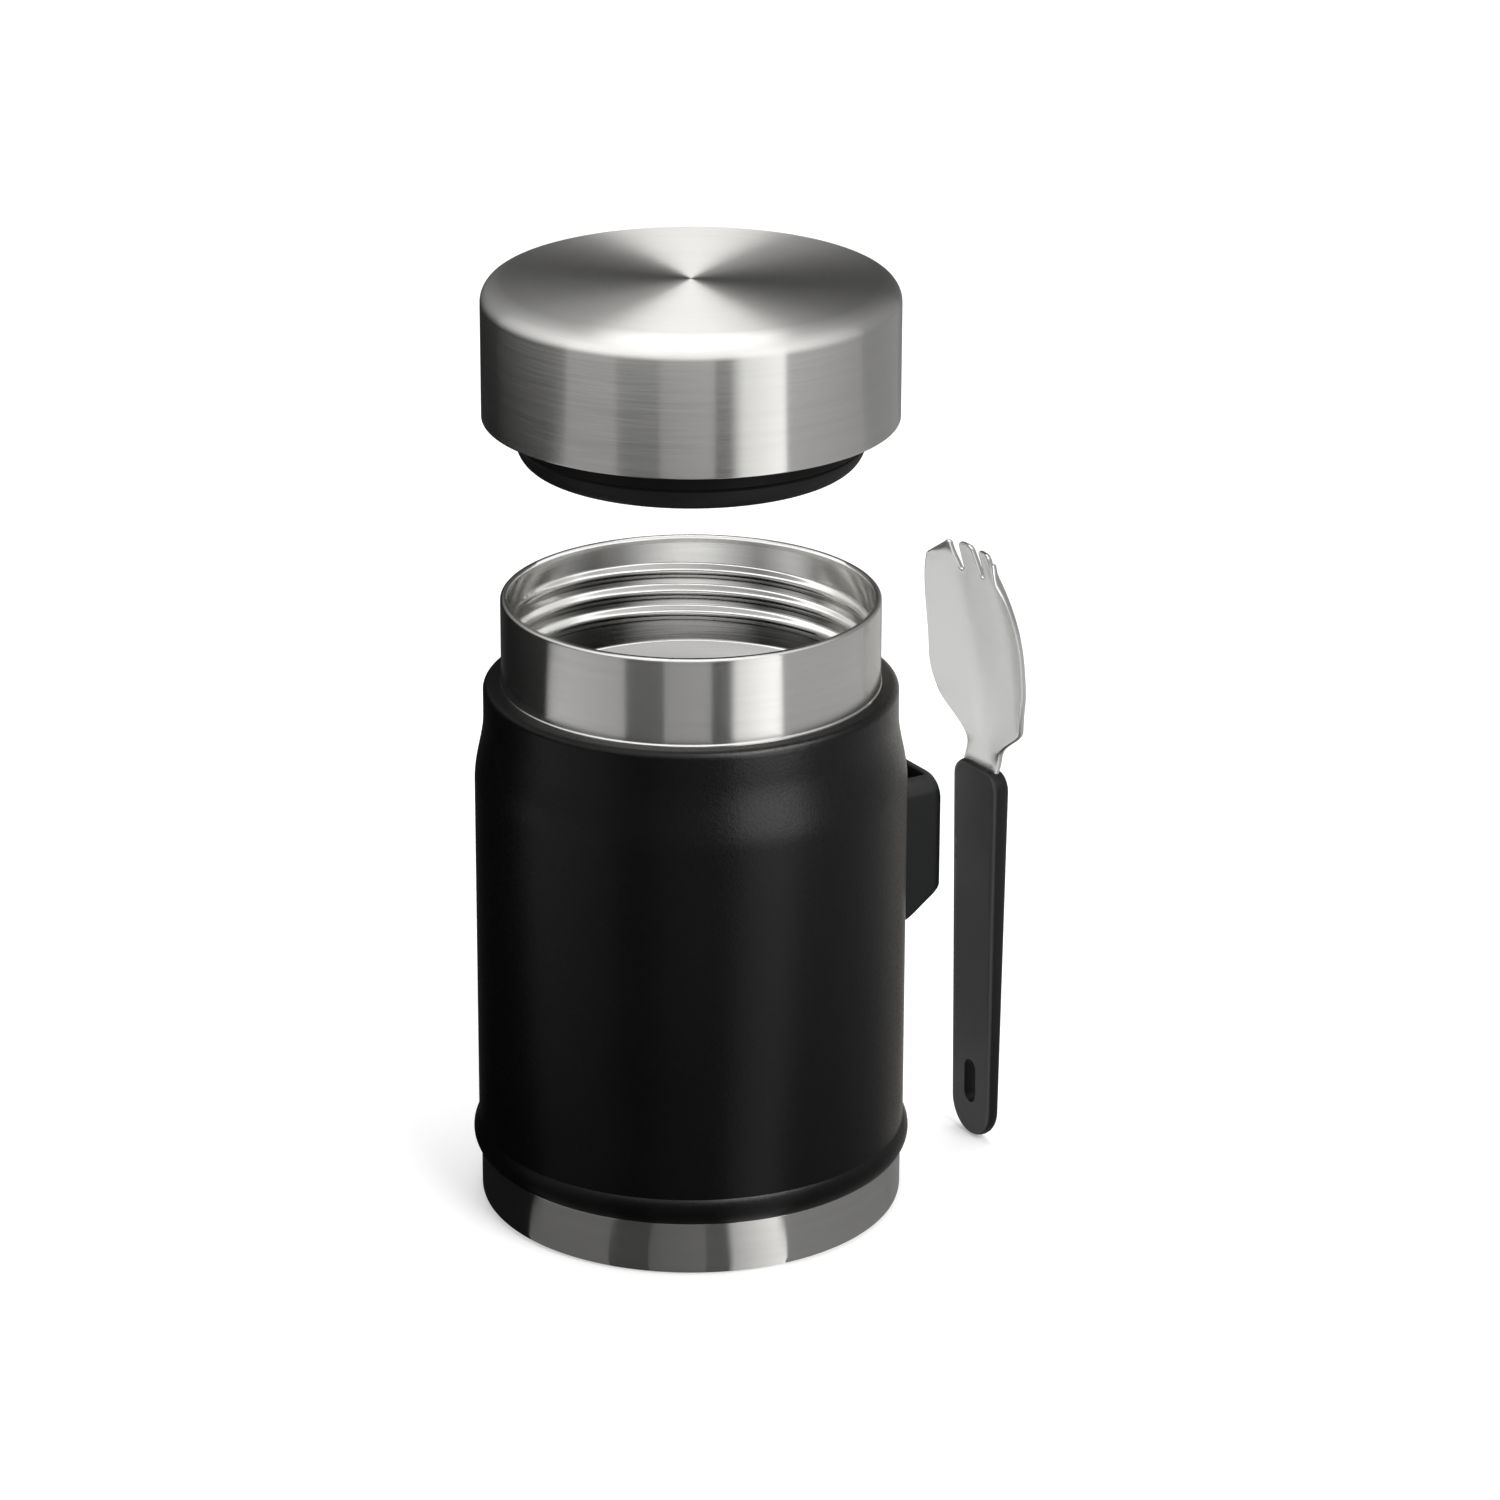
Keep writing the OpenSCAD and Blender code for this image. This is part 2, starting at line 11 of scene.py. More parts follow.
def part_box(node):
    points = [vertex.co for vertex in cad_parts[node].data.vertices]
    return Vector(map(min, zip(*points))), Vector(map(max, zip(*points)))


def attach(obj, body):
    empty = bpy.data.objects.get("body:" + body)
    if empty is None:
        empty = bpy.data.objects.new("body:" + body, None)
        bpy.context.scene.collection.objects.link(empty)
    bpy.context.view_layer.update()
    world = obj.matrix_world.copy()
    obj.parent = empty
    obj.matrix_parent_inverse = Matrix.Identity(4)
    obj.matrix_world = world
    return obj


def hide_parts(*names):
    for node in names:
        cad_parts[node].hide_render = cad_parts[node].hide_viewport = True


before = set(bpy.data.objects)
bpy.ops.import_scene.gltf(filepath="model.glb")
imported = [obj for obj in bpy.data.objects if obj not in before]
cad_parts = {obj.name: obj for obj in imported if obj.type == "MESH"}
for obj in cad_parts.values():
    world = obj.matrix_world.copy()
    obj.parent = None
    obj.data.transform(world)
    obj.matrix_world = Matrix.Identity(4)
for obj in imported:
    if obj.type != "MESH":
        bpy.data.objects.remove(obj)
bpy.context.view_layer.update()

# ------------------------ sizes, in millimetres
MM = 0.001
SEGMENTS = 256                  # facets round a turned piece
THREAD_SEGMENTS = 384           # facets round a threaded one
THREAD_ROW = 0.2                # height of the rows of its threaded wall
SHEET = 0.6                     # thickness of the steel shells
SUPPORT = 0.25                  # a flat face keeps its shading to this distance from its edges


def reach(node):
    """Lowest height, highest height and largest x of a CAD node, in millimetres."""
    low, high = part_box(node)
    return low.z / MM, high.z / MM, high.x / MM


_, BASE_TOP, BASE_R = reach("base_cup")
SHOULDER_Z, RIM_Z, NECK_R = reach("neck_band")
LINER_SPLIT, _, _ = reach("inner_liner")
FLOOR_UNDER, _, LINER_OUT = reach("liner_bottom")
_, LID_TOP, LID_R = reach("lid_shell")
PLUG_Z, _, CAP_R = reach("lid_plug")
GASKET_Z, GASKET_TOP, GASKET_R = reach("lid_gasket")
HOLDER_LOW, HOLDER_Z, HOLDER_OUT = reach("spork_holder")
SPORK_Z, HANDLE_TOP, _ = reach("spork_handle")

# jar
BODY_R = 44.0
SHOULDER_R = 42.1
SHOULDER_ROUND = 1.4
SHOULDER_BAND = 5.3             # the upright band under the shoulder
FLARE_H = 14.0                  # from that band down to the full width
BEAD_H = 5.2
BEAD_OUT = 1.1
BEAD_GUARDS = (2.0, 0.8)        # extra rows above the bead keep the wall flat down to it
COAT_EDGE = 0.1                 # rounding of the coating's lower edge and the base band's inner one
SEAM = 0.3                      # between the coating and the base band
TUCK_Z = 4.0                    # the wall's lower end, tucked into the base band
TUCK_GAP = 0.1
BASE_CORNER = 1.8
BASE_LIP_ROUND = 0.25
FOOT_W = 3.7
FOOT_RECESS = 1.2
FOOT_SLOPE = 0.8
FOOT_ROUND = 0.5
COLLAR_OUT = 0.25               # where the neck meets the shoulder
COLLAR_H = 0.5
COLLAR_LEAN = 0.88              # share of its width halfway up
COLLAR_ROUND = 0.1
MOUTH_R = NECK_R - 1.5
CAVITY_R = LINER_OUT - SHEET
LEDGE_Z = RIM_Z - 26.2
LEDGE_H = 3.2
LEDGE_ROUNDS = (0.7, 0.6)       # at its outer and inner edge
LEDGE_BACK_ROUNDS = (0.4, 0.8)
FLOOR_Z = FLOOR_UNDER + SHEET
FLOOR_ROUND = 9.0
FLOOR_DISC = (11, 12, 0.25)     # the raised disc in it: radii of its top and foot, and its height

# thread
LEAD = 4.6
RIDGE = 0.85
RIDGE_HALF = 1.8                # half the width of a ridge's root
RIDGE_FULLNESS = 1.25           # 1 is a plain wave, and more is a broader crest
THREAD_TOP = RIM_Z - 6.6
INNER_TURNS = 2.8
OUTER_TURNS = 2.4
THREAD_END = math.radians(138)
THREAD_FADE = math.radians(35)
NEAR_WALL = 0.31                # a point this near to the threaded wall moves with it

# lid, with heights counted from the skirt's lower edge
LID_H = 28.2
LID_Z = LID_TOP - LID_H
LID_GAP = 0.8                   # between the skirt and the shoulder once it is closed
LID_ROUND = 4.5
SKIRT_HEM = 0.15                # where the steel ends
SKIRT_ROUNDS = (0.45, 0.2)      # outside and inside
CAP_IN_R = NECK_R + 0.8
CAP_LOW = 1.0
CAP_ROUND = 0.5
CORE_R = MOUTH_R - 1.6
CHANNEL_TOP = 18.6
CHANNEL_ROUND = 0.6
ROOF_TOP = 21.0
PLUG_WALL = 2.0
PLUG_ROUND = 0.4
CORE_ROUND = 0.3
GROOVE_H = 1.2                  # from the gasket's lower end up to the groove it sits in
GASKET_FIT = 0.1
GASKET_ROUND = 4.1
GASKET_LIP = 0.8
GASKET_TURN = (-6, -90)         # its rounded flank, in degrees
GASKET_SHOULDER = 0.5
SEAT_R = 32.15
LIP_R = GASKET_R - GASKET_ROUND - 0.3

# holder
HOLDER_W = 23.6
HOLDER_CORNER = 3.5
HOLDER_LIP_IN = 2.4
HOLDER_LIP_H = 5.0
HOLDER_LIP_LEAN = 0.12          # the share of that which is a plain slope
HOLDER_LIP_SHEEN = (1.5, 2.3)        # where the painted sheen on its lip begins, above the lip's own start
HOLDER_SLANT = 5.5              # how much higher its lower end lies at the front
HOLDER_SLANT_POWER = 0.9        # 1 is an even S, and less is steeper near the wall
HOLDER_FOOT = 1.2               # rounding of its lower edge
HOLDER_GAP = 0.02               # between it and the wall
HOLDER_POINTS = 160             # round each level of it
HOLDER_SQUASH = 0.45            # its y by this is about as wide as its x
SLOT_X = (46.9, 51.4)
SLOT_Y = 8.5
SLOT_CORNER = 0.6
SLOT_ROUND = 0.5                # at its mouth
SLOT_FOOT = 0.3                 # at its lower end

# spork, in its own frame: z up from the handle's lower end, x away from the jar
SPORK_X = 64.85
SPORK_Y = -9.4
HANDLE_H = HANDLE_TOP - SPORK_Z
HANDLE_W = 16.2
HANDLE_T = 3.7
HANDLE_TAPER_W = 2.0
HANDLE_TAPER_T = 1.0
HANDLE_CORNER = 4.0
HANG_R = 2.0
HANG_Z = (9.6, 15.2)
HANG_EDGE = 0.08
HANDLE_EDGE = 0.7               # rounding of its faces' edges
HEAD_H = 48.7
HEAD_W = 35.0
HEAD_T = 1.2
HEAD_EDGE = 0.42
HEAD_NECK_W = 12.0
HEAD_DEPTH = 4.4                # of its bowl
TINE_PITCH = 6.9
SLIT_Z = 0.86 * HEAD_H
SLIT_SHIFT = -0.7               # how far the middle slit lies from the middle
SLIT_R = 0.6
SLIT_TOP = 1.3                  # half the width of a slit at the tips
TIP_Z = HEAD_H - 0.4
TIP_ROUNDS = (0.7, 1.3)         # at the outer and the inner tines
CUT_Z = 0.9 * HEAD_H            # where the outer corner of the tines is cut off
CUT_ROUND = 4.0
# One side of its tang: half width, height and rounding of each corner
TANG = [(4, -40, 1.5), (4, -1.5, 1), (HEAD_NECK_W / 2, -0.5, 0.6)]
# The head's outline and bowl, by shares of its height
SWELLS = [(0.63, 0.065, 0.245), (0.37, 0.065, 0.435)]  # share of the swell, from where to where
DRAW_IN = (0.48, 0.52, 2.8)     # towards the tips: by which share, from where, how suddenly
BOWL_BEND = [(0.23, 4.7), (0.70, 3.0), (1.0, -3.2)]    # a curve's handles and end: how high, how far out
RISE_GROWS = (0, 0.38)          # the bowl's depth grows from the neck up
RISE_ENDS = (0.9, 1.03)         # and goes again at the tips,
RISE_LOST = 0.87                # by this share
BOWL_FLATNESS = 2.6             # 2 is a round section, and more is a flatter middle


# ------------------------ outlines and meshes
def arc(centre, radius, start, end, steps=10):
    """Points on an arc, with its angles in degrees."""
    angles = np.radians(np.linspace(start, end, steps + 1))
    return [(centre[0] + radius * math.cos(a), centre[1] + radius * math.sin(a)) for a in angles]


def fillet(before, corner, after, radius, steps=6):
    """The points that round one corner of an outline."""
    corner = np.array(corner, float)
    u = np.array(before, float) - corner
    v = np.array(after, float) - corner
    lu, lv = np.linalg.norm(u), np.linalg.norm(v)
    if radius <= 0 or lu < 1e-9 or lv < 1e-9:
        return [tuple(corner)]
    u, v = u / lu, v / lv
    half = math.acos(np.clip(np.dot(u, v), -1, 1)) / 2
    if half > math.radians(89):
        return [tuple(corner)]
    cut = min(radius / math.tan(half), 0.49 * lu, 0.49 * lv)
    radius = cut * math.tan(half)
    middle = corner + (u + v) / np.linalg.norm(u + v) * radius / math.sin(half)
    a, b = corner + u * cut - middle, corner + v * cut - middle
    turn = math.acos(np.clip(np.dot(a, b) / radius ** 2, -1, 1))
    return [tuple(middle + (a * math.sin((1 - t) * turn) + b * math.sin(t * turn)) / math.sin(turn))
            for t in np.linspace(0, 1, steps + 1)]


def outline(corners, support=SUPPORT):
    """A closed outline. A corner is (x, y) or (x, y, fillet radius). Long flats get support points."""
    points = []
    count = len(corners)
    for i, corner in enumerate(corners):
        radius = corner[2] if len(corner) > 2 else 0
        points += fillet(corners[i - 1][:2], corner[:2], corners[(i + 1) % count][:2], radius)
    full = []
    for i, p in enumerate(points):
        q = points[(i + 1) % len(points)]
        full.append(p)
        length = math.dist(p, q)
        if support and length > 4 * support:
            full += [(p[0] + (q[0] - p[0]) * s, p[1] + (q[1] - p[1]) * s)
                     for s in (support / length, 1 - support / length)]
    return full


def new_object(name, vertices, faces, crease=40):
    """A smooth-shaded object from points in millimetres; edges sharper than crease stay sharp."""
    mesh = bpy.data.meshes.new(name)
    mesh.from_pydata((np.asarray(vertices) * MM).tolist(), [], [list(f) for f in faces])
    work = bmesh.new()
    work.from_mesh(mesh)
    bmesh.ops.remove_doubles(work, verts=work.verts, dist=1e-7)
    bmesh.ops.dissolve_degenerate(work, edges=work.edges, dist=1e-8)
    bmesh.ops.recalc_face_normals(work, faces=work.faces)
    work.to_mesh(mesh)
    work.free()
    mesh.shade_smooth()
    mesh.set_sharp_from_angle(angle=math.radians(crease))
    piece = bpy.data.objects.new(name, mesh)
    bpy.context.scene.collection.objects.link(piece)
    return piece


def lathe(name, points, segments=SEGMENTS, shift=None):
    """Turns a closed outline of (radius, height) round the jar's axis.

    shift(radius, height, angle) gives how far each point moves outwards."""
    points = np.asarray(points, float)
    count = len(points)
    vertices = []
    for i in range(segments):
        angle = 2 * math.pi * i / segments
        radius = points[:, 0]
        if shift is not None:
            radius = radius + shift(points[:, 0], points[:, 1], angle)
        vertices += list(np.stack([radius * math.cos(angle), radius * math.sin(angle),
                                   points[:, 1]], 1))
    faces = []
    for i in range(segments):
        a, b = i * count, (i + 1) % segments * count
        faces += [(a + j, b + j, b + (j + 1) % count, a + (j + 1) % count) for j in range(count)]
    return new_object(name, vertices, faces)


def rows_between(points, low, high):
    """Cuts the upright stretches of an outline between two heights into rows that a thread can bend."""
    full = []
    for i, p in enumerate(points):
        q = points[(i + 1) % len(points)]
        full.append(p)
        within = min(p[1], q[1]) < high and max(p[1], q[1]) > low
        if within and abs(p[0] - q[0]) < NEAR_WALL and abs(p[1] - q[1]) > 2 * THREAD_ROW:
            rows = int(abs(p[1] - q[1]) / THREAD_ROW)
            full += [(p[0] + (q[0] - p[0]) * k / rows, p[1] + (q[1] - p[1]) * k / rows)
                     for k in range(1, rows)]
    return full


def step01(low, high, x):
    """Smooth step from 0 at low to 1 at high."""
    u = np.clip((x - low) / (high - low), 0, 1)
    return u * u * (3 - 2 * u)


def thread(top, turns, depth, near):
    """How far a helical ridge, which ends at height top, moves the wall at radius near."""
    def shift(radius, height, angle):
        move = np.zeros(len(radius))
        on_wall = np.abs(radius - near) < NEAR_WALL
        for k in range(-1, int(turns) + 3):
            back = (THREAD_END - angle) % (2 * math.pi) + 2 * math.pi * (k - 1)
            if not 0 <= back <= 2 * math.pi * turns:
                continue
            middle = top - LEAD * back / (2 * math.pi)
            fade = step01(0, THREAD_FADE, min(back, 2 * math.pi * turns - back))
            away = np.clip(np.abs(height - middle) / RIDGE_HALF, 0, 1)
            move = np.maximum(move, fade * (0.5 + 0.5 * np.cos(math.pi * away ** RIDGE_FULLNESS)))
        return np.where(on_wall, depth * move, 0)
    return shift


# ------------------------ turned pieces
def wall_line(inset):
    """The coated wall from the neck down to the base band, moved inwards by inset."""
    bead_arc_r = ((BEAD_H / 2) ** 2 + BEAD_OUT ** 2) / (2 * BEAD_OUT)
    bead_half = math.degrees(math.asin(BEAD_H / 2 / bead_arc_r))
    bead_z = BASE_TOP + SEAM + BEAD_H / 2
    flare_top = SHOULDER_Z - SHOULDER_ROUND - SHOULDER_BAND
    flare = [(SHOULDER_R - inset + (BODY_R - SHOULDER_R) * (1 - math.cos(math.pi * u)) / 2,
              flare_top - FLARE_H * u) for u in np.linspace(0, 1, 25)]
    bead = arc((BODY_R + BEAD_OUT - bead_arc_r - inset, bead_z), bead_arc_r, bead_half, -bead_half, 24)
    return ([(NECK_R - SHEET, SHOULDER_Z - inset)]
            + arc((SHOULDER_R - SHOULDER_ROUND, SHOULDER_Z - SHOULDER_ROUND),
                  SHOULDER_ROUND - inset, 90, 0)
            + flare
            + [(BODY_R - inset, bead[0][1] + up) for up in BEAD_GUARDS]
            + bead)


def make_shell():
    seam_z = BASE_TOP + SEAM
    tuck_r = BASE_R - SHEET - TUCK_GAP
    return lathe("coated_wall", outline(
        wall_line(0)
        + [(BODY_R - COAT_EDGE, seam_z, COAT_EDGE), (tuck_r, seam_z), (tuck_r, TUCK_Z),
           (tuck_r - SHEET, TUCK_Z), (tuck_r - SHEET, seam_z + SHEET)]
        + wall_line(SHEET)[::-1]))


def make_neck():
    rim_r = (NECK_R - MOUTH_R) / 2
    return lathe("steel_neck", outline(
        [(NECK_R - SHEET, SHOULDER_Z), (NECK_R + COLLAR_OUT, SHOULDER_Z),
         (NECK_R + COLLAR_LEAN * COLLAR_OUT, SHOULDER_Z + COLLAR_H / 2, COLLAR_ROUND),
         (NECK_R, SHOULDER_Z + COLLAR_H, 4 * COLLAR_ROUND)]
        + arc((NECK_R - rim_r, RIM_Z - rim_r), rim_r, 0, 180, 16)
        + [(MOUTH_R, RIM_Z - 2 * rim_r), (NECK_R - SHEET, RIM_Z - 2 * rim_r)]))


def make_liner():
    top = RIM_Z - (NECK_R - MOUTH_R)
    ledge_top = LEDGE_Z + LEDGE_H
    points = outline([
        (MOUTH_R, top), (MOUTH_R, ledge_top, LEDGE_ROUNDS[0]), (CAVITY_R, LEDGE_Z, LEDGE_ROUNDS[1]),
        (CAVITY_R, LINER_SPLIT), (CAVITY_R + SHEET, LINER_SPLIT),
        (CAVITY_R + SHEET, LEDGE_Z, LEDGE_BACK_ROUNDS[1]),
        (MOUTH_R + SHEET, ledge_top, LEDGE_BACK_ROUNDS[0]), (MOUTH_R + SHEET, top)])
    points = rows_between(points, ledge_top, top)
    return lathe("steel_liner", points, THREAD_SEGMENTS,
                 thread(THREAD_TOP, INNER_TURNS, -RIDGE, MOUTH_R))


def make_liner_bottom():
    centre = (CAVITY_R - FLOOR_ROUND, FLOOR_Z + FLOOR_ROUND)
    disc_r, disc_foot_r, disc_h = FLOOR_DISC
    return lathe("liner_floor", outline(
        [(CAVITY_R + SHEET, LINER_SPLIT), (CAVITY_R, LINER_SPLIT)]
        + arc(centre, FLOOR_ROUND, 0, -90, 16)
        + [(disc_foot_r, FLOOR_Z), (disc_r, FLOOR_Z + disc_h), (0, FLOOR_Z + disc_h), (0, FLOOR_UNDER)]
        + arc(centre, FLOOR_ROUND + SHEET, -90, 0, 16)))


def make_base():
    corner = (BASE_R - BASE_CORNER, BASE_CORNER)
    foot_in = BASE_R - BASE_CORNER - FOOT_W
    return lathe("steel_base", outline(
        [(0, FOOT_RECESS), (foot_in - FOOT_SLOPE, FOOT_RECESS, FOOT_ROUND), (foot_in, 0, FOOT_ROUND)]
        + arc(corner, BASE_CORNER, -90, 0, 12)
        + [(BASE_R, BASE_TOP, BASE_LIP_ROUND), (BASE_R - SHEET, BASE_TOP, COAT_EDGE)]
        + arc(corner, BASE_CORNER - SHEET, 0, -90, 12)
        + [(foot_in + SHEET / 2, SHEET), (foot_in + SHEET / 2 - FOOT_SLOPE, FOOT_RECESS + SHEET),
           (0, FOOT_RECESS + SHEET)]))


def make_lid_shell():
    corner = (LID_R - LID_ROUND, LID_TOP - LID_ROUND)
    return lathe("steel_lid", outline(
        [(0, LID_TOP)]
        + arc(corner, LID_ROUND, 90, 0, 24)
        + [(LID_R, LID_Z + SKIRT_HEM, SKIRT_ROUNDS[0]),
           (LID_R - SHEET, LID_Z + SKIRT_HEM, SKIRT_ROUNDS[1])]
        + arc(corner, LID_ROUND - SHEET, 0, 90, 24)
        + [(0, LID_TOP - SHEET)]))


def make_plug():
    """The plug with the cap above it. Its thread lies half a lead under the liner's once it is closed."""
    bore_r = CORE_R - PLUG_WALL
    groove = GASKET_Z + GROOVE_H
    seat = GASKET_TOP + GASKET_FIT
    channel = LID_Z + CHANNEL_TOP
    roof = LID_Z + ROOF_TOP
    points = outline([
        (0, PLUG_Z), (LIP_R, PLUG_Z, PLUG_ROUND), (LIP_R, groove), (SEAT_R, groove),
        (SEAT_R, seat), (CORE_R, seat, CORE_ROUND),
        (CORE_R, channel, CHANNEL_ROUND), (CAP_IN_R, channel, CHANNEL_ROUND),
        (CAP_IN_R, LID_Z + CAP_LOW, CAP_ROUND), (CAP_R, LID_Z + CAP_LOW), (CAP_R, roof),
        (bore_r, roof), (bore_r, GASKET_TOP + PLUG_WALL), (SEAT_R - PLUG_WALL, GASKET_TOP),
        (SEAT_R - PLUG_WALL, PLUG_Z + PLUG_WALL), (0, PLUG_Z + PLUG_WALL)])
    points = rows_between(points, GASKET_TOP, channel)
    top = THREAD_TOP + (LID_Z - SHOULDER_Z - LID_GAP) - LEAD / 2
    return lathe("threaded_plug", points, THREAD_SEGMENTS, thread(top, OUTER_TURNS, RIDGE, CORE_R))


def make_gasket():
    height = GASKET_TOP - GASKET_Z
    centre = GASKET_R - GASKET_ROUND
    lip = GASKET_Z + GASKET_LIP
    bore = SEAT_R + GASKET_FIT
    flank = [(centre + GASKET_ROUND * math.cos(a), GASKET_TOP + height * math.sin(a))
             for a in np.radians(np.linspace(*GASKET_TURN, 22))]
    return lathe("gasket", outline(
        [(bore, GASKET_TOP), (GASKET_R - GASKET_SHOULDER, GASKET_TOP)]
        + flank
        + [(centre, lip), (bore, lip)]))


# ------------------------ holder
def spaced(points, step):
    """Adds points to a closed outline so that none lie further apart than step."""
    full = []
    for i, p in enumerate(points):
        q = points[(i + 1) % len(points)]
        cuts = max(1, math.ceil(math.dist(p, q) / step))
        full += [(p[0] + (q[0] - p[0]) * k / cuts, p[1] + (q[1] - p[1]) * k / cuts)
                 for k in range(cuts)]
    return full


def holder_outline(inset, wall_r):
    """The holder in plan, drawn in by inset at its front and sides. Its back follows the wall."""
    half = HOLDER_W / 2 - inset
    front = HOLDER_OUT - inset
    back = math.sqrt(wall_r ** 2 - half ** 2)
    corner = HOLDER_CORNER
    points = [(back, -half)]
    points += arc((front - corner, corner - half), corner, -90, 0, 10)
    points += arc((front - corner, half - corner), corner, 0, 90, 10)
    points += [(back, half)]
    angle = math.degrees(math.asin(half / wall_r))
    points += arc((0, 0), wall_r, angle, -angle, 12)[1:-1]
    return points


def lip_in(t):
    """How far the lip is drawn in at the fraction t of its height: a little all the way, then round."""
    rounded = 1 - math.sqrt(max(0, 1 - t * t))
    return HOLDER_LIP_IN * (HOLDER_LIP_LEAN * t + (1 - HOLDER_LIP_LEAN) * rounded)


def holder_bottom(x):
    """Height of the holder's slanted lower end."""
    out = step01(0, 1, (x - BODY_R) / (HOLDER_OUT - BODY_R))
    return HOLDER_LOW + HOLDER_SLANT * out ** HOLDER_SLANT_POWER


def slot_outline(grow):
    """The holder's slot in plan, widened by grow."""
    corner = SLOT_CORNER + grow
    low, high, side = SLOT_X[0] - grow, SLOT_X[1] + grow, SLOT_Y + grow
    return outline([(low, -side, corner), (high, -side, corner), (high, side, corner),
                    (low, side, corner)], 0)


def holder_levels():
    """Levels that run up the outside, over the lip, down through the slot and back under the bottom.

    Each is the side it is on, how far it is drawn in or widened, and its height or its height above
    the slanted lower end. A level near each rounding keeps the flat stretches flat."""
    lip_z = HOLDER_Z - HOLDER_LIP_H
    levels = []
    for angle in np.radians(np.linspace(90, 0, 6)):
        levels.append(("out", HOLDER_FOOT * (1 - math.cos(angle)),
                       HOLDER_FOOT * (1 - math.sin(angle)), "low"))
    levels += [("out", 0, 3, "low"), ("out", 0, lip_z - 0.5, "z")]
    for t in np.sin(np.radians(np.linspace(0, 90, 12))):
        levels.append(("out", lip_in(t), lip_z + HOLDER_LIP_H * t, "z"))
    for angle in np.radians(np.linspace(90, 0, 5)):
        levels.append(("slot", SLOT_ROUND * (1 - math.cos(angle)),
                       HOLDER_Z - SLOT_ROUND * (1 - math.sin(angle)), "z"))
    return levels + [("slot", 0, HOLDER_Z - 2, "z"), ("slot", 0, 2, "low"), ("slot", 0, 0.5, "low"),
                     ("slot", SLOT_FOOT, 0, "low")]


def ray_spread(plan, centre, count):
    """Resamples a closed outline at evenly turned directions from its centre, so that the outer and
    inner outlines of a loop can be joined face by face."""
    p = np.array(spaced(plan, 0.25)) - np.array(centre)
    angle = np.arctan2(p[:, 1] * HOLDER_SQUASH, p[:, 0])
    order = np.argsort(angle)
    angle, p = angle[order], p[order]
    wrapped = np.concatenate([angle[-3:] - 2 * math.pi, angle, angle[:3] + 2 * math.pi])
    points = np.concatenate([p[-3:], p, p[:3]])
    turns = np.linspace(-math.pi, math.pi, count, endpoint=False)
    x = np.interp(turns, wrapped, points[:, 0]) + centre[0]
    y = np.interp(turns, wrapped, points[:, 1]) + centre[1]
    return list(zip(x, y))


def make_holder():
    count = HOLDER_POINTS
    rings = []
    for side, amount, height, datum in holder_levels():
        plan = holder_outline(amount, BODY_R + HOLDER_GAP) if side == "out" else slot_outline(amount)
        plan = ray_spread(plan, (sum(SLOT_X) / 2, 0), count)
        rings.append([(x, y, height + holder_bottom(x) if datum == "low" else height) for x, y in plan])
    faces = []
    for i in range(len(rings)):
        a, b = i * count, (i + 1) % len(rings) * count
        faces += [(a + j, a + (j + 1) % count, b + (j + 1) % count, b + j) for j in range(count)]
    return new_object("holder", [p for ring in rings for p in ring], faces, crease=50)


# ------------------------ spork
def head_half(z):
    """Half width of the spork's head at height z above its handle."""
    u = z / HEAD_H
    swell = sum(share * step01(low, high, u) for share, low, high in SWELLS)
    share, start, power = DRAW_IN
    full = HEAD_W / 2 * (1 - share * np.maximum(0, (u - start) / (1 - start)) ** power)
    return HEAD_NECK_W / 2 + (full - HEAD_NECK_W / 2) * swell


def bowl_mid(z):
    """How far out the middle of the bowl lies at height z above the handle."""
    t = np.linspace(0, 1, 201)
    weights = (3 * (1 - t) ** 2 * t, 3 * (1 - t) * t * t, t ** 3)
    heights = HEAD_H * sum(weight * up for weight, (up, _) in zip(weights, BOWL_BEND))
    out = sum(weight * far for weight, (_, far) in zip(weights, BOWL_BEND))
    return np.interp(z, heights, out)


def edge_rise(z):
    """How far the bowl's edges stand in from its middle at height z."""
    u = z / HEAD_H
    return HEAD_DEPTH * step01(*RISE_GROWS, u) * (1 - RISE_LOST * step01(*RISE_ENDS, u))


def head_surface(y, z):
    """x of the head's middle surface."""
    across = np.clip(np.abs(y) / np.maximum(head_half(np.clip(z, 0, HEAD_H)), 0.1), 0, 1)
    return np.where(z < 0, 0, bowl_mid(z) - edge_rise(z) * across ** BOWL_FLATNESS)


def head_plan():
    """The head's outline in the y, z plane: tang, neck, bowl and four tines."""
    side = TANG + [(float(head_half(z)), float(z)) for z in np.linspace(0.5, CUT_Z - 2.6, 42)]
    side += [(float(head_half(CUT_Z)), CUT_Z, CUT_ROUND)]
    slits = [SLIT_SHIFT + k * TINE_PITCH for k in (1, 0, -1)]
    outer, inner = TIP_ROUNDS
    tips = []
    for middle in slits:
        tips.append((middle + SLIT_TOP, TIP_Z, outer if middle == slits[0] else inner))
        tips += arc((middle, SLIT_Z), SLIT_R, 0, -180, 8)
        tips.append((middle - SLIT_TOP, TIP_Z, outer if middle == slits[-1] else inner))
    return side + tips + [(-p[0], *p[1:]) for p in side[::-1]]


def inside(loop, point):
    """Whether a point lies inside a closed outline."""
    p = np.asarray(loop)
    q = np.roll(p, -1, 0)
    crossed = (p[:, 1] > point[1]) != (q[:, 1] > point[1])
    p, q = p[crossed], q[crossed]
    at = p[:, 0] + (point[1] - p[:, 1]) * (q[:, 0] - p[:, 0]) / (q[:, 1] - p[:, 1])
    return int(np.sum(at > point[0])) % 2 == 1


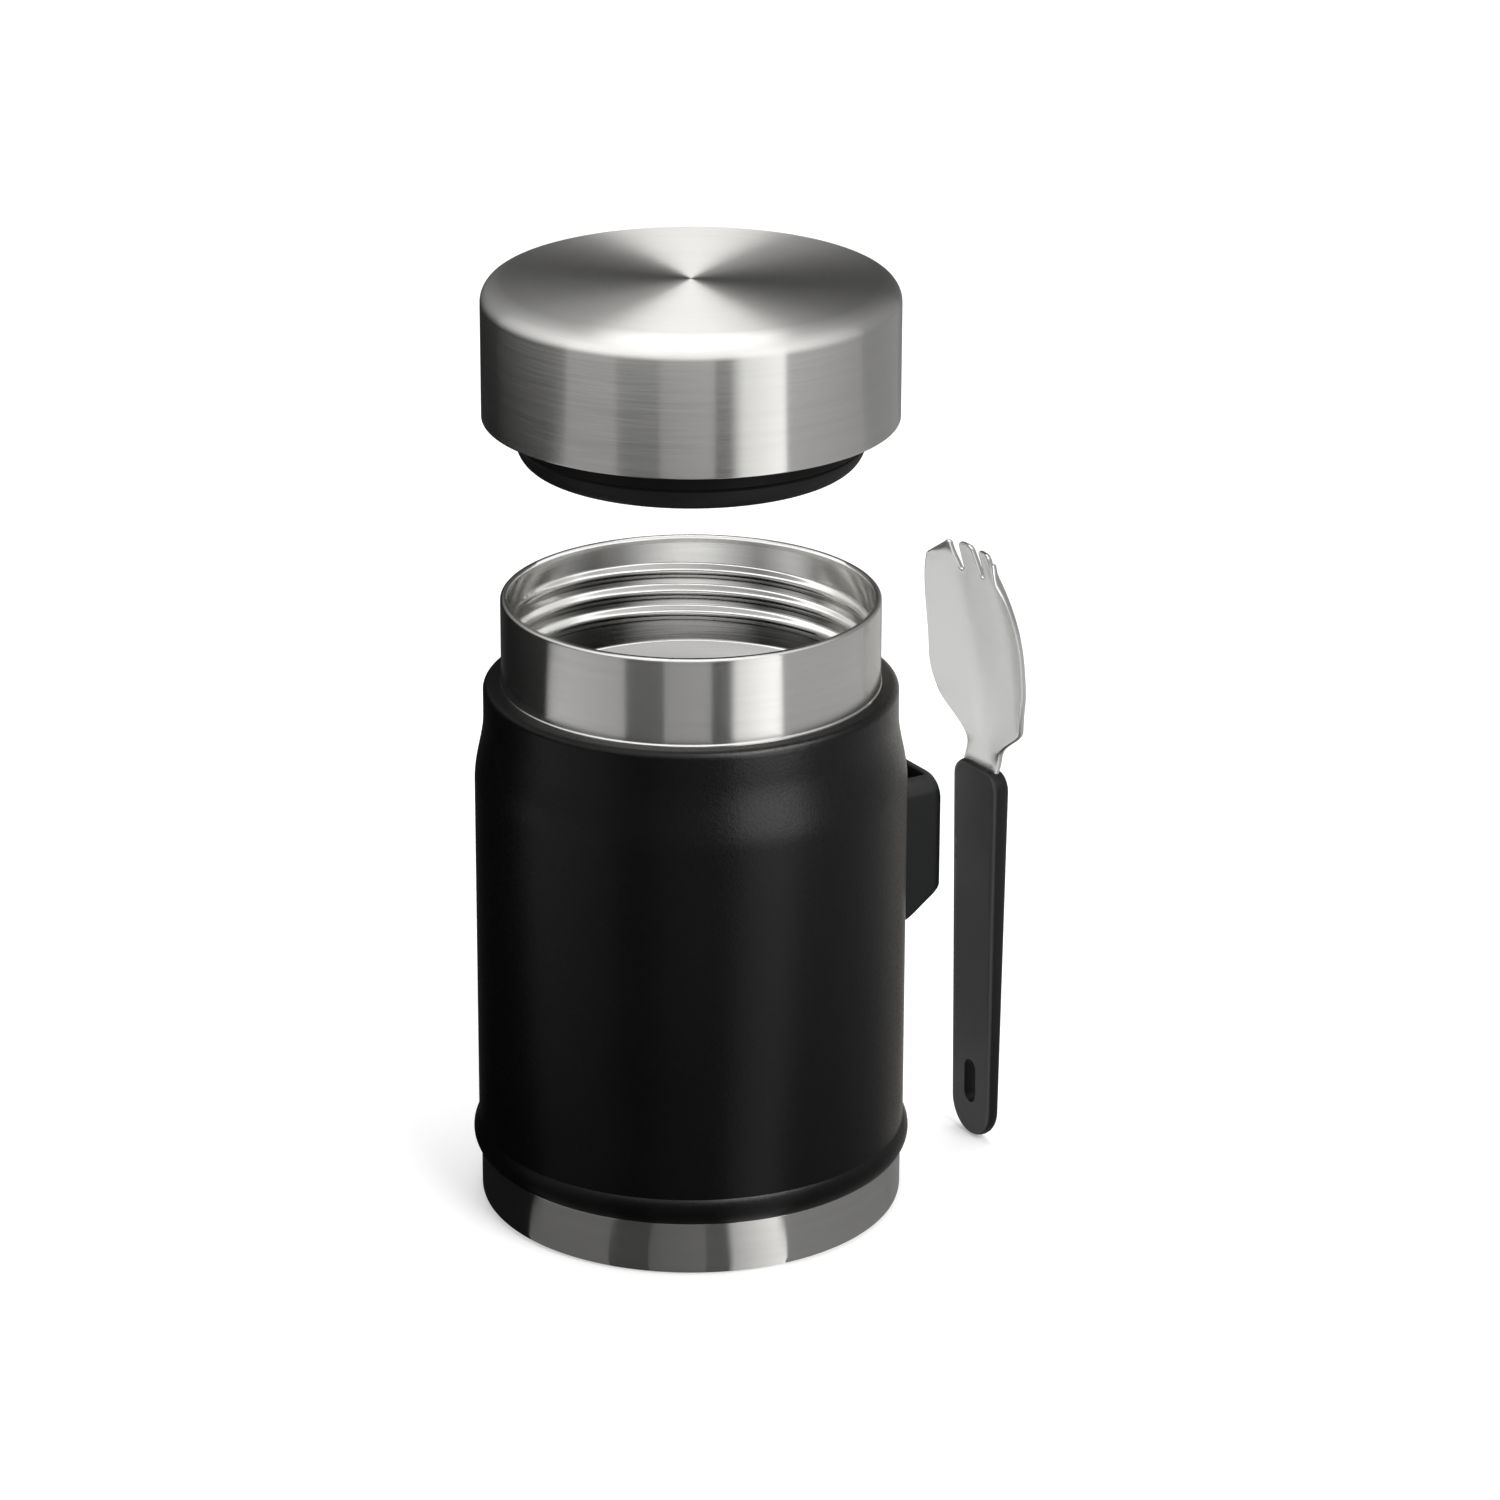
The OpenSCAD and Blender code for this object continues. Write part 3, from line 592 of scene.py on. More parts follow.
def away_from(loop, is_hole):
    """The direction at each point of an outline that leads out of the plate."""
    p = np.array(loop)
    along = np.roll(p, -1, 0) - np.roll(p, 1, 0)
    along /= np.maximum(np.linalg.norm(along, axis=1), 1e-9)[:, None]
    normal = np.stack([along[:, 1], -along[:, 0]], 1)
    area = 0.5 * np.sum(p[:, 0] * np.roll(p[:, 1], -1) - np.roll(p[:, 0], -1) * p[:, 1])
    return -normal if (area < 0) != is_hole else normal


def fill(loops, step):
    """Fills the first outline with triangles and leaves the others open.

    Returns the points, the triangles, and which point each one of the outlines has become."""
    flat = np.concatenate(loops)
    starts = np.cumsum([0] + [len(p) for p in loops])
    pitch, gap = 1.6 * step, 0.8 * step
    edges = [(s + k, s + (k + 1) % n) for s, n in zip(starts, [len(p) for p in loops]) for k in range(n)]
    low, high = flat.min(0), flat.max(0)
    grid = [(y, z) for z in np.arange(low[1] + step, high[1], pitch)
            for y in np.arange(low[0] + step, high[0], pitch)]
    grid = [g for g in grid if np.min(np.hypot(*(flat - g).T)) > gap
            and not any(inside(hole, g) for hole in loops[1:])]
    points = [Vector(p) for p in flat] + [Vector(g) for g in grid]
    places, _, found, origins, *_ = geometry.delaunay_2d_cdt(points, edges, [], 2, 1e-6)
    places = np.array([tuple(v) for v in places])
    triangles = [tuple(f) for f in found
                 if not any(inside(hole, places[list(f)].mean(0)) for hole in loops[1:])]
    became = {old: new for new, olds in enumerate(origins) for old in olds}
    return places, triangles, [[became[s + k] for k in range(len(p))] for s, p in zip(starts, loops)]


def slab(name, plan, holes, surface, half_t, edge, step):
    """A curved plate. plan and holes are outlines in the y, z plane, surface(y, z) gives x of its middle
    and half_t(z) half its thickness. Its outer edge is rounded over the distance edge."""
    loops = [spaced(plan, step)] + [spaced(hole, step) for hole in holes]
    outward = [away_from(loop, i > 0) * (HANG_EDGE if i else edge) for i, loop in enumerate(loops)]
    inner = [np.array(loop) - out for loop, out in zip(loops, outward)]
    places, triangles, corners = fill(inner, step)
    y, z = places.T
    middle, half = surface(y, z), half_t(z)
    vertices = list(np.stack([middle + half, y, z], 1)) + list(np.stack([middle - half, y, z], 1))
    n = len(places)
    faces = triangles + [tuple(a + n for a in f[::-1]) for f in triangles]
    for loop, out, own in zip(inner, outward, corners):
        chains = [[a] for a in own]
        for angle in np.radians(np.linspace(90, -90, 8)[1:-1]):
            q = loop + out * math.cos(angle)
            x = surface(*q.T) + half_t(loop[:, 1]) * math.sin(angle)
            for k, chain in enumerate(chains):
                chain.append(len(vertices) + k)
            vertices += list(np.stack([x, q[:, 0], q[:, 1]], 1))
        for chain, a in zip(chains, own):
            chain.append(a + n)
        for one, other in zip(chains, chains[1:] + chains[:1]):
            faces += [(one[i], other[i], other[i + 1], one[i + 1]) for i in range(len(one) - 1)]
    return new_object(name, vertices, faces, crease=55)


def place_spork(piece, lift):
    piece.data.transform(Matrix.Translation(Vector((SPORK_X, SPORK_Y, SPORK_Z + lift)) * MM))
    return piece


def make_head():
    piece = slab("spork_steel", outline(head_plan(), 0), [], head_surface,
                 lambda z: np.full(len(z), HEAD_T / 2), HEAD_EDGE, 0.7)
    return place_spork(piece, HANDLE_H)


def make_handle():
    low_r = (HANDLE_W - HANDLE_TAPER_W) / 2
    half = HANDLE_W / 2
    plan = outline(arc((0, low_r), low_r, 180, 360, 32)
                   + [(half, HANDLE_H, HANDLE_CORNER), (-half, HANDLE_H, HANDLE_CORNER)], 0)
    hole = arc((0, HANG_Z[1]), HANG_R, 0, 180, 14) + arc((0, HANG_Z[0]), HANG_R, 180, 360, 14)

    def half_t(z):
        return (HANDLE_T - HANDLE_TAPER_T * (1 - np.clip(z / HANDLE_H, 0, 1))) / 2

    piece = slab("spork_grip", plan, [hole], lambda y, z: np.zeros(len(y)), half_t, HANDLE_EDGE, 0.6)
    return place_spork(piece, 0)


# ------------------------ materials
class Nodes:
    """Short ways to add and join the nodes of a new material, or of the owner that is given."""

    def __init__(self, name, owner=None):
        self.material = bpy.data.materials.new(name) if owner is None else owner
        self.material.use_nodes = True
        self.tree = self.material.node_tree
        self.shader = self.tree.nodes.get("Principled BSDF")

    def put(self, value, socket):
        """Links a value to a socket, or sets it there."""
        if isinstance(value, bpy.types.NodeSocket):
            self.tree.links.new(value, socket)
        else:
            socket.default_value = value

    def add(self, kind, inputs=(), **settings):
        node = self.tree.nodes.new("ShaderNode" + kind)
        for key, value in settings.items():
            setattr(node, key, value)
        for key, value in dict(inputs).items():
            self.put(value, node.inputs[key])
        return node

    def set(self, **sockets):
        for key, value in sockets.items():
            self.put(value, self.shader.inputs[key.replace("_", " ")])

    def math(self, operation, *values):
        return self.add("Math", dict(enumerate(values)), operation=operation).outputs[0]

    def place(self):
        return self.add("TexCoord").outputs["Object"]

    def height(self):
        return self.add("SeparateXYZ", {"Vector": self.place()}).outputs[2]

    def noise(self, vector, scale, detail=3.0, roughness=0.5):
        return self.add("TexNoise", {"Vector": vector, "Scale": scale, "Detail": detail,
                                     "Roughness": roughness}).outputs["Fac"]

    def share(self, value, low, high):
        """0 where a value is low or less, and 1 where it is high or more."""
        return self.add("MapRange", {"Value": value, "From Min": low, "From Max": high}).outputs["Result"]

    def spread(self, value, low, high):
        """Maps a noise, which lies mostly between 0.3 and 0.7, to low and high."""
        return self.add("MapRange", {"Value": value, "From Min": 0.3, "From Max": 0.7,
                                     "To Min": low, "To Max": high}).outputs["Result"]

    def blend(self, share, low, high):
        """A colour that runs from low to high."""
        return self.add("Mix", {0: share, 6: (*low, 1), 7: (*high, 1)}, data_type="RGBA").outputs[2]

    def tint(self, noise, low, high):
        """A colour that runs from low to high with a noise."""
        return self.blend(self.spread(noise, 0, 1), low, high)

    def bump(self, height, strength, distance):
        node = self.add("Bump", {"Height": height, "Strength": strength, "Distance": distance})
        self.set(Normal=node.outputs["Normal"])

    def brush_round(self, strength):
        """Draws the gloss out across lines that run round the jar's axis."""
        tangent = self.add("Tangent", direction_type="RADIAL", axis="Z")
        self.set(Anisotropic=strength, Anisotropic_Rotation=0.25, Tangent=tangent.outputs[0])


def turned_vector(m, along, fine, lean):
    """A place that runs slowly round the jar's axis and fast across the brush lines.

    lean is -1 where a turned edge rounds inwards going up, and 1 where it rounds inwards going down."""
    place = m.add("SeparateXYZ", {"Vector": m.place()})
    x, y, z = place.outputs
    radius = m.math("SQRT", m.math("ADD", m.math("MULTIPLY", x, x), m.math("MULTIPLY", y, y)))
    across = m.math("MULTIPLY", m.math("ADD", z, m.math("MULTIPLY", radius, lean)), fine)
    safe = m.math("MAXIMUM", radius, 1e-4)
    return m.add("CombineXYZ", {"X": m.math("MULTIPLY", m.math("DIVIDE", x, safe), along),
                                "Y": m.math("MULTIPLY", m.math("DIVIDE", y, safe), along),
                                "Z": across}).outputs[0]


def brushed_steel(name, lean=-1.0, base=(0.60, 0.595, 0.58), rough=0.21, spun=None):
    """Steel brushed round the axis. spun is a height band over which it turns into the coarser lines
    of a spun face, with how rough that is."""
    m = Nodes(name)
    lines = m.noise(turned_vector(m, 2.5, 9000, lean), 1.0, 4)
    bands = m.noise(turned_vector(m, 0.8, 700, lean), 1.0, 3)
    roughness = m.spread(lines, rough - 0.03, rough + 0.03)
    if spun:
        low, high, coarse = spun
        share = m.share(m.height(), low * MM, high * MM)
        roughness = m.math("ADD", roughness, m.math("MULTIPLY", share, coarse - rough))
    m.set(Metallic=1.0, Base_Color=m.tint(bands, [c * 0.96 for c in base], base), Roughness=roughness)
    m.brush_round(0.96)
    m.bump(lines, 0.04, 0.00002)
    return m.material


def polished_steel(name, base=(0.66, 0.655, 0.64), rough=(0.12, 0.22)):
    m = Nodes(name)
    lines = m.noise(turned_vector(m, 2.0, 6000, 1.0), 1.0, 3)
    m.set(Metallic=1.0, Base_Color=(*base, 1), Roughness=m.spread(lines, *rough))
    m.brush_round(0.5)
    m.bump(lines, 0.05, 0.00002)
    return m.material


def satin_steel(name, base=(0.70, 0.698, 0.685), rough=0.27):
    m = Nodes(name)
    clouds = m.noise(m.place(), 25.0, 1)
    m.set(Metallic=1.0, Base_Color=m.blend(clouds, [c * 0.97 for c in base], base), Roughness=rough)
    return m.material


def powder_coat(name):
    m = Nodes(name)
    grain = m.noise(m.place(), 1700.0, 2, 0.6)
    broad = m.noise(m.place(), 350.0, 2)
    clouds = m.noise(m.place(), 30.0, 3)
    m.set(Base_Color=m.tint(clouds, (0.0010, 0.0010, 0.0010), (0.0016, 0.0016, 0.0016)),
          Roughness=m.spread(grain, 0.29, 0.41), Specular_IOR_Level=0.18)
    height = m.math("ADD", grain, m.math("MULTIPLY", broad, 0.6))
    m.bump(height, 0.55, 0.00008)
    return m.material


def moulded(name, colour, shine, rough=(0.38, 0.5), grain_scale=2200.0, strength=0.18):
    """Plastic with a fine grain; colour makes its colour's nodes."""
    m = Nodes(name)
    grain = m.noise(m.place(), grain_scale, 3)
    m.set(Base_Color=colour(m), Roughness=m.spread(grain, *rough), Specular_IOR_Level=shine)
    m.bump(grain, strength, 0.00004)
    return m.material


def plastic(name, colour, shine=0.5, **finish):
    def clouded(m):
        clouds = m.noise(m.place(), 60.0, 3)
        return m.tint(clouds, [c * 0.9 for c in colour], [c * 1.08 for c in colour])
    return moulded(name, clouded, shine, **finish)


def holder_plastic_painted_sheen():
    """Black plastic with a painted sheen: its lip, which slopes in towards the top, is painted paler."""
    def lip(m):
        low, high = (HOLDER_Z - HOLDER_LIP_H + up for up in HOLDER_LIP_SHEEN)
        # the paler colour above this height is a painted sheen on the lip
        return m.blend(m.share(m.height(), low * MM, high * MM),
                       (0.005, 0.0055, 0.0055), (0.018, 0.0185, 0.018))
    return moulded("holder_plastic_painted_sheen", lip, 0.35)


def grip_plastic_painted_shade():
    """Black plastic with grey faces. Its edges and the walls of its slot, which turn away from the faces,
    are painted darker: a painted shade.
    """
    def faces(m):
        # painted shade: the colour darkens where the surface turns away from the faces, on the edges and
        # in the slot
        out = m.add("SeparateXYZ", {"Vector": m.add("TexCoord").outputs["Normal"]}).outputs[0]
        return m.blend(m.share(m.math("ABSOLUTE", out), 0.4, 0.85),
                       (0.006, 0.006, 0.006), (0.078, 0.078, 0.081))
    return moulded("grip_plastic_painted_shade", faces, 0.3)


def plain_metal(name, colour, rough):
    m = Nodes(name)
    grain = m.noise(m.place(), 900.0, 4)
    m.set(Metallic=1.0, Base_Color=m.tint(grain, [c * 0.9 for c in colour], colour),
          Roughness=m.spread(grain, *rough))
    m.bump(grain, 0.15, 0.00003)
    return m.material


# ------------------------ pieces
def finish_piece(piece, body, material, slot, *nodes):
    piece.data.materials.clear()
    piece.data.materials.append(material)
    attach(piece, body)
    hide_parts(*nodes)


def build_pieces():
    spun_top = brushed_steel("brushed_lid", spun=(LID_TOP - LID_ROUND, LID_TOP - 0.5, 0.43))
    polished = polished_steel("polished_liner")
    plug_plastic = plastic("plug_plastic", (0.003, 0.003, 0.0032), 0.12)
    silicone = plastic("silicone", (0.004, 0.004, 0.004), 0.2, rough=(0.45, 0.6))
    finish_piece(make_shell(), "jar", powder_coat("powder_coat"), "coating", "outer_shell")
    finish_piece(make_neck(), "jar", brushed_steel("brushed_neck"), "brushed_steel", "neck_band")
    finish_piece(make_liner(), "jar", polished, "polished_steel", "inner_liner")
    finish_piece(make_liner_bottom(), "jar", polished, "polished_steel", "liner_bottom")
    finish_piece(make_base(), "jar", brushed_steel("brushed_base", 1.0), "brushed_steel", "base_cup")
    finish_piece(make_lid_shell(), "lid", spun_top, "brushed_steel", "lid_shell")
    finish_piece(make_plug(), "lid", plug_plastic, "black_plastic", "lid_plug")
    finish_piece(make_gasket(), "lid_seal", silicone, "silicone", "lid_gasket")
    finish_piece(make_holder(), "jar", holder_plastic_painted_sheen(), "black_plastic", "spork_holder")
    finish_piece(make_head(), "spork", satin_steel("spork_steel"), "polished_steel", "spork_head")
    finish_piece(make_handle(), "spork", grip_plastic_painted_shade(), "handle_plastic", "spork_handle")


def paint_hidden():
    steel = plain_metal("plain_steel", (0.5, 0.5, 0.5), (0.3, 0.45))
    glue = plastic("adhesive", (0.7, 0.7, 0.66), rough=(0.5, 0.65), grain_scale=500.0)
    foam = plastic("foam", (0.8, 0.75, 0.6), rough=(0.8, 0.95), grain_scale=700.0, strength=0.6)
    finishes = {
        "heat_foil": plain_metal("bright_foil", (0.72, 0.45, 0.3), (0.15, 0.3)),
        "shell_bottom": steel, "getter": steel, "holder_plate": steel,
        "seal_bead": glue, "base_bond": glue, "lid_bond": glue,
        "lid_foam": foam,
    }
    for node, material in finishes.items():
        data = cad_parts[node].data
        data.materials.clear()
        data.materials.append(material)


# ------------------------ studio
AIM = Vector((0, 0, 97.05)) * MM
CAMERA_AT = Vector((-557.1, -927.2, 508.9)) * MM
CAMERA_AZIMUTH = math.atan2(CAMERA_AT.y, CAMERA_AT.x)
FOCAL_PX = 5700
IMAGE_PX = 1500
AXIS_PX = 691                      # where the jar's axis stands across the image
SENSOR = 36

FLOOR_HALF = 3000
FLOOR_GLOW = 0.3
AMBIENT = 0.55
# Name, azimuth and elevation in degrees, distance and size in metres, and power in watts
LAMPS = [("key", 38, 35, 1.4, (0.7, 0.9), 14), ("fill", -60, 30, 1.6, (0.8, 0.9), 5),
         ("top", 150, 75, 1.3, (0.9, 0.9), 9)]


def make_camera():
    data = bpy.data.cameras.new("camera")
    data.sensor_width = SENSOR
    data.lens = FOCAL_PX * SENSOR / IMAGE_PX
    data.shift_x = (IMAGE_PX / 2 - AXIS_PX) / IMAGE_PX
    data.clip_start = 0.01
    camera = bpy.data.objects.new("camera", data)
    camera.location = CAMERA_AT
    camera.rotation_euler = (AIM - CAMERA_AT).to_track_quat("-Z", "Y").to_euler()
    bpy.context.scene.collection.objects.link(camera)
    bpy.context.scene.camera = camera


def seen_plainly(m):
    """1 for rays that come from the camera, a mirror or glass, and 0 for the light on a surface."""
    path = m.add("LightPath")
    seen = m.math("MAXIMUM", path.outputs["Is Camera Ray"], path.outputs["Is Glossy Ray"])
    return m.math("MAXIMUM", seen, path.outputs["Is Transmission Ray"])


def make_floor():
    m = Nodes("pale_floor")
    grain = m.noise(m.place(), 30.0, 3)
    m.set(Base_Color=m.tint(grain, (0.79, 0.79, 0.79), (0.81, 0.81, 0.81)), Roughness=0.9,
          Specular_IOR_Level=0.0, Emission_Color=(1, 1, 1, 1),
          Emission_Strength=m.math("MULTIPLY", seen_plainly(m), FLOOR_GLOW))
    vertices = [(x * FLOOR_HALF, y * FLOOR_HALF, 0) for x, y in ((-1, -1), (1, -1), (1, 1), (-1, 1))]
    floor = new_object("floor", vertices, [(0, 1, 2, 3)])
    floor.data.materials.append(m.material)


def make_world():
    world = bpy.data.worlds.new("studio")
    bpy.context.scene.world = world
    m = Nodes("studio", world)
    strength = m.add("MapRange", {"Value": seen_plainly(m), "To Min": AMBIENT, "To Max": 1.0})
    background = m.tree.nodes["Background"].inputs
    m.put((1, 1, 1, 1), background["Color"])
    m.put(strength.outputs["Result"], background["Strength"])


def make_lamp(name, azimuth, elevation, distance, size, power):
    """An area lamp; azimuth is counted from the camera, positive to its right."""
    a = CAMERA_AZIMUTH + math.radians(azimuth)
    e = math.radians(elevation)
    data = bpy.data.lights.new(name, "AREA")
    data.shape = "RECTANGLE"
    data.size, data.size_y = size
    data.energy = power
    lamp = bpy.data.objects.new(name, data)
    lamp.location = Vector((math.cos(a) * math.cos(e), math.sin(a) * math.cos(e), math.sin(e))) * distance
    lamp.location.z += AIM.z
    lamp.rotation_euler = (AIM - lamp.location).to_track_quat("-Z", "Y").to_euler()
    lamp.visible_glossy = False
    bpy.context.scene.collection.objects.link(lamp)


# A dome of upright strips of light and dark, seen only in reflections. DOME is its profile, as radius
# and height. What the base band, the neck and the lid mirror lies at three of its heights: a strip
# starts at three azimuths, one for each, in degrees from the camera's and positive to its right, and
# glows by five strengths: for what the base, the neck, the lid and the lid's rounded edge mirror, and at
# the dome's top. It runs from its first strengths to its second ones, and ends where the next one starts
DOME = [(40, 0.2), (43.6, 0.25), (56, 0.5), (75, 0.8), (131, 85), (163, 134), (180, 159), (215, 212),
        (380, 460), (290, 760)]
DOME_EDGE = [0, 0, 1, 1, 2, 3, 3, 3, 3, 3]
DOME_GLOW = [0, 0, 0, 0, 1, 2, 2, 3, 3, 4]
FOOT_TURN = 0.81                   # how much nearer to the camera's azimuth a strip is at the foot
STRIPS = [
    ((-180, -180, -180), (0.3, 0.1, 0.02, 0.08, 0.08), (0.01, 0.01, 0.015, 0.6, 0.3)),
    ((-115, -130, -115), (0.01, 0.01, 0.02, 0.9, 0.3), (0.01, 0.02, 0.07, 1.7, 0.6)),
    ((-62, -85, -63), (0.17, 0.85, 0.25, 1.9, 0.6), (0.17, 0.55, 0.25, 1.9, 1.0)),
    ((-28, -34, -36), (0.07, 0.13, 0.11, 1.9, 1.4), (0.07, 0.15, 0.11, 1.9, 1.4)),
    ((-14, -13.5, -15), (0.14, 0.44, 0.24, 1.8, 1.4), (0.18, 0.48, 0.36, 1.8, 1.4)),
    ((5, 10.5, 11.5), (0.12, 0.10, 0.10, 1.8, 1.4), (0.12, 0.14, 0.12, 1.8, 1.4)),
    ((12.5, 20.5, 18.5), (0.14, 0.16, 0.14, 1.8, 1.2), (0.6, 1.1, 1.0, 1.8, 1.2)),
    ((14.5, 23, 25), (0.6, 1.1, 1.0, 1.8, 1.2), (1.3, 2.0, 1.5, 1.8, 0.8)),
    ((33, 49, 46.5), (0.30, 0.56, 0.50, 1.7, 0.8), (0.26, 0.62, 0.40, 0.8, 0.5)),
    ((88, 126, 95), (0.24, 0.4, 0.34, 0.5, 0.5), (0.3, 0.3, 0.36, 0.3, 0.3)),
    ((130, 158, 140), (0.5, 0.3, 0.3, 0.15, 0.15), (0.3, 0.1, 0.1, 0.08, 0.08)),
]
TOP_GLOW = 3.5


def polar(start, end, profile, step=4):
    """Columns of points over a profile of (radius, height), between two azimuths from the camera's or
    between two for each of its points."""
    start, end = np.asarray(start, float), np.asarray(end, float)
    count = 3 + int(np.max(np.abs(end - start)) / step)
    a = CAMERA_AZIMUTH + np.radians(start + (end - start) * np.linspace(0, 1, count)[:, None])
    r, z = np.asarray(profile, float).T
    return np.stack([r * np.cos(a), r * np.sin(a), z + 0 * a], 2)


def disc(radius, z):
    return polar(-180, 180, [(0.1, z), (radius, z)])


@functools.cache
def light_material(clear, colour):
    """Plain light, as strong as the sheet's glow attribute says; clear light lets rays through."""
    m = Nodes("clear_light" if clear else "card_light")
    strength = m.add("Attribute", attribute_name="glow").outputs["Fac"]
    glow = m.add("Emission", {"Color": (*colour, 1), "Strength": strength}).outputs[0]
    if clear:
        glow = m.add("AddShader", {0: glow, 1: m.add("BsdfTransparent").outputs[0]}).outputs[0]
    m.tree.links.new(glow, m.tree.nodes["Material Output"].inputs["Surface"])
    m.material.cycles.emission_sampling = "NONE"
    return m.material


def card(name, columns, glows, *pieces, colour=(1, 1, 1)):
    """A sheet over columns of points that only reflections see, with a glow at each point.

    When pieces are named it is clear, and seen only in the reflections of those pieces."""
    columns = np.asarray(columns, float)
    count, rows = columns.shape[:2]
    faces = [(i * rows + j, (i + 1) * rows + j, (i + 1) * rows + j + 1, i * rows + j + 1)
             for i in range(count - 1) for j in range(rows - 1)]
    mesh = bpy.data.meshes.new(name)
    mesh.from_pydata((columns.reshape(-1, 3) * MM).tolist(), [], faces)
    values = np.broadcast_to(glows, (count, rows)).ravel().astype(np.float32)
    mesh.attributes.new("glow", "FLOAT", "POINT").data.foreach_set("value", values)
    sheet = bpy.data.objects.new(name, mesh)
    bpy.context.scene.collection.objects.link(sheet)
    sheet.data.materials.append(light_material(bool(pieces), colour))
    sheet.visible_camera = False
    sheet.visible_diffuse = False
    sheet.visible_shadow = False
    sheet.visible_transmission = False
    if pieces:
        receivers = bpy.data.collections.new(name)
        for piece in pieces:
            receivers.objects.link(piece)
        sheet.light_linking.receiver_collection = receivers


def make_cards():
    ends = [strip[0] for strip in STRIPS[1:]] + [(180 / FOOT_TURN, 180, 180)]
    for number, ((start, first, last), end) in enumerate(zip(STRIPS, ends)):
        start, end = ([(edge[0] * FOOT_TURN, *edge)[i] for i in DOME_EDGE] for edge in (start, end))
        columns = polar(start, end, DOME)
        glows = np.linspace([first[i] for i in DOME_GLOW], [last[i] for i in DOME_GLOW], len(columns))
        card(f"card_{number}", columns, glows)
    card("card_top", disc(*DOME[-1]), TOP_GLOW)


# Upright sheets: their path in plan, and their lower and upper edge. The spork mirrors them instead of
# the jar's black wall
WALL_SHEET = (arc((0, 0), 45.5, -45, 75, 24), 62, 113)
BACK_SHEET = ([(-60, 110), (50, 75)], 5, 150)
SIDE_SHEET = ([(50, 75), (150, 110)], 5, 150)
GRIP_SHEET = (BACK_SHEET[0], 0, 110)
SPORK_GLOW = 0.85
SIDE_SHARE = 0.65
GRIP_GLOW = 1.3


def standing(path, low, high):
    """Columns of points for an upright sheet over a path in plan."""
    return [[(x, y, low), (x, y, high)] for x, y in path]


def light_spork(head, grip):
    card("wall_glow", standing(*WALL_SHEET), SPORK_GLOW, head)
    card("back_glow", standing(*BACK_SHEET), SPORK_GLOW, head)
    card("grip_glow", standing(*GRIP_SHEET), GRIP_GLOW, grip)
    card("side_glow", standing(*SIDE_SHEET), SPORK_GLOW * SIDE_SHARE, head)


# What the inside of the mouth mirrors: light on the wall below the ledge, which fades downwards into
# the dark, sooner away from the camera's side, and light over the mouth. Both change with the azimuth
# from the camera's
MOUTH_WALL = [(-180, 0.3), (-138, 0.2), (-113, 0.7), (-99, 0.75), (-67, 0.37), (-37, 0.76), (-12, 1.15),
              (12, 1.15), (39, 0.78), (69, 0.33), (101, 0.12), (139, 0.3), (180, 0.3)]
MOUTH_FADE = [(78, 0.01, 0.01), (86, 0.05, 0.03), (89, 0.6, 0.05), (95, 0.9, 0.15), (99, 1.0, 0.5),
              (103, 1.0, 1.0), (LEDGE_Z - 1, 1.0, 1.0)]
MOUTH_FADE_NEAR = 50               # up to this azimuth the fade has its near shares
MOUTH_NEAR_TOP = 112               # the camera's side, which it doesn't see, is lit as high as this
MOUTH_NEAR = 140                   # up to this azimuth
MOUTH_WALL_R = CAVITY_R - 0.5
MOUTH_DARK_Z = MOUTH_FADE[0][0] - 3
MOUTH_DARK_GLOW = 0.5              # of the dark's near side
MOUTH_FLOOR_GLOW = 0.5             # what the floor mirrors under it
MOUTH_TOP = [(-180, 1.0), (-163, 1.15), (-142, 0.1), (-120, 0.4), (0, 0.6), (120, 0.5), (148, 1.0),
             (164, 0.35), (180, 1.0)]
MOUTH_RINGS = [(4, 0.8), (19, 0.5), (23, 0.9), (30, 0.6), (MOUTH_R, 1.0)]
MOUTH_TOP_Z = RIM_Z + 1
RIM_SHEET = [(22, RIM_Z + 1.2), (NECK_R - 1, RIM_Z + 1.2)]
RIM_SPAN = (125, 235)
RIM_GLOW = 1.3


def light_mouth_wall():
    near, far = np.array([shares for _, *shares in MOUTH_FADE]).T
    for number, ((start, first), (end, last)) in enumerate(zip(MOUTH_WALL, MOUTH_WALL[1:])):
        top = MOUTH_NEAR_TOP if max(abs(start), abs(end)) < MOUTH_NEAR else LEDGE_Z - 1
        wall = [(MOUTH_WALL_R, z) for z, _, _ in MOUTH_FADE[:-1]] + [(MOUTH_WALL_R, top)]
        columns = polar(start, end, wall)
        first, last = (glow * (near if abs(edge) < MOUTH_FADE_NEAR else far)
                       for glow, edge in ((first, start), (last, end)))
        card(f"mouth_wall_{number}", columns, np.linspace(first, last, len(columns)))


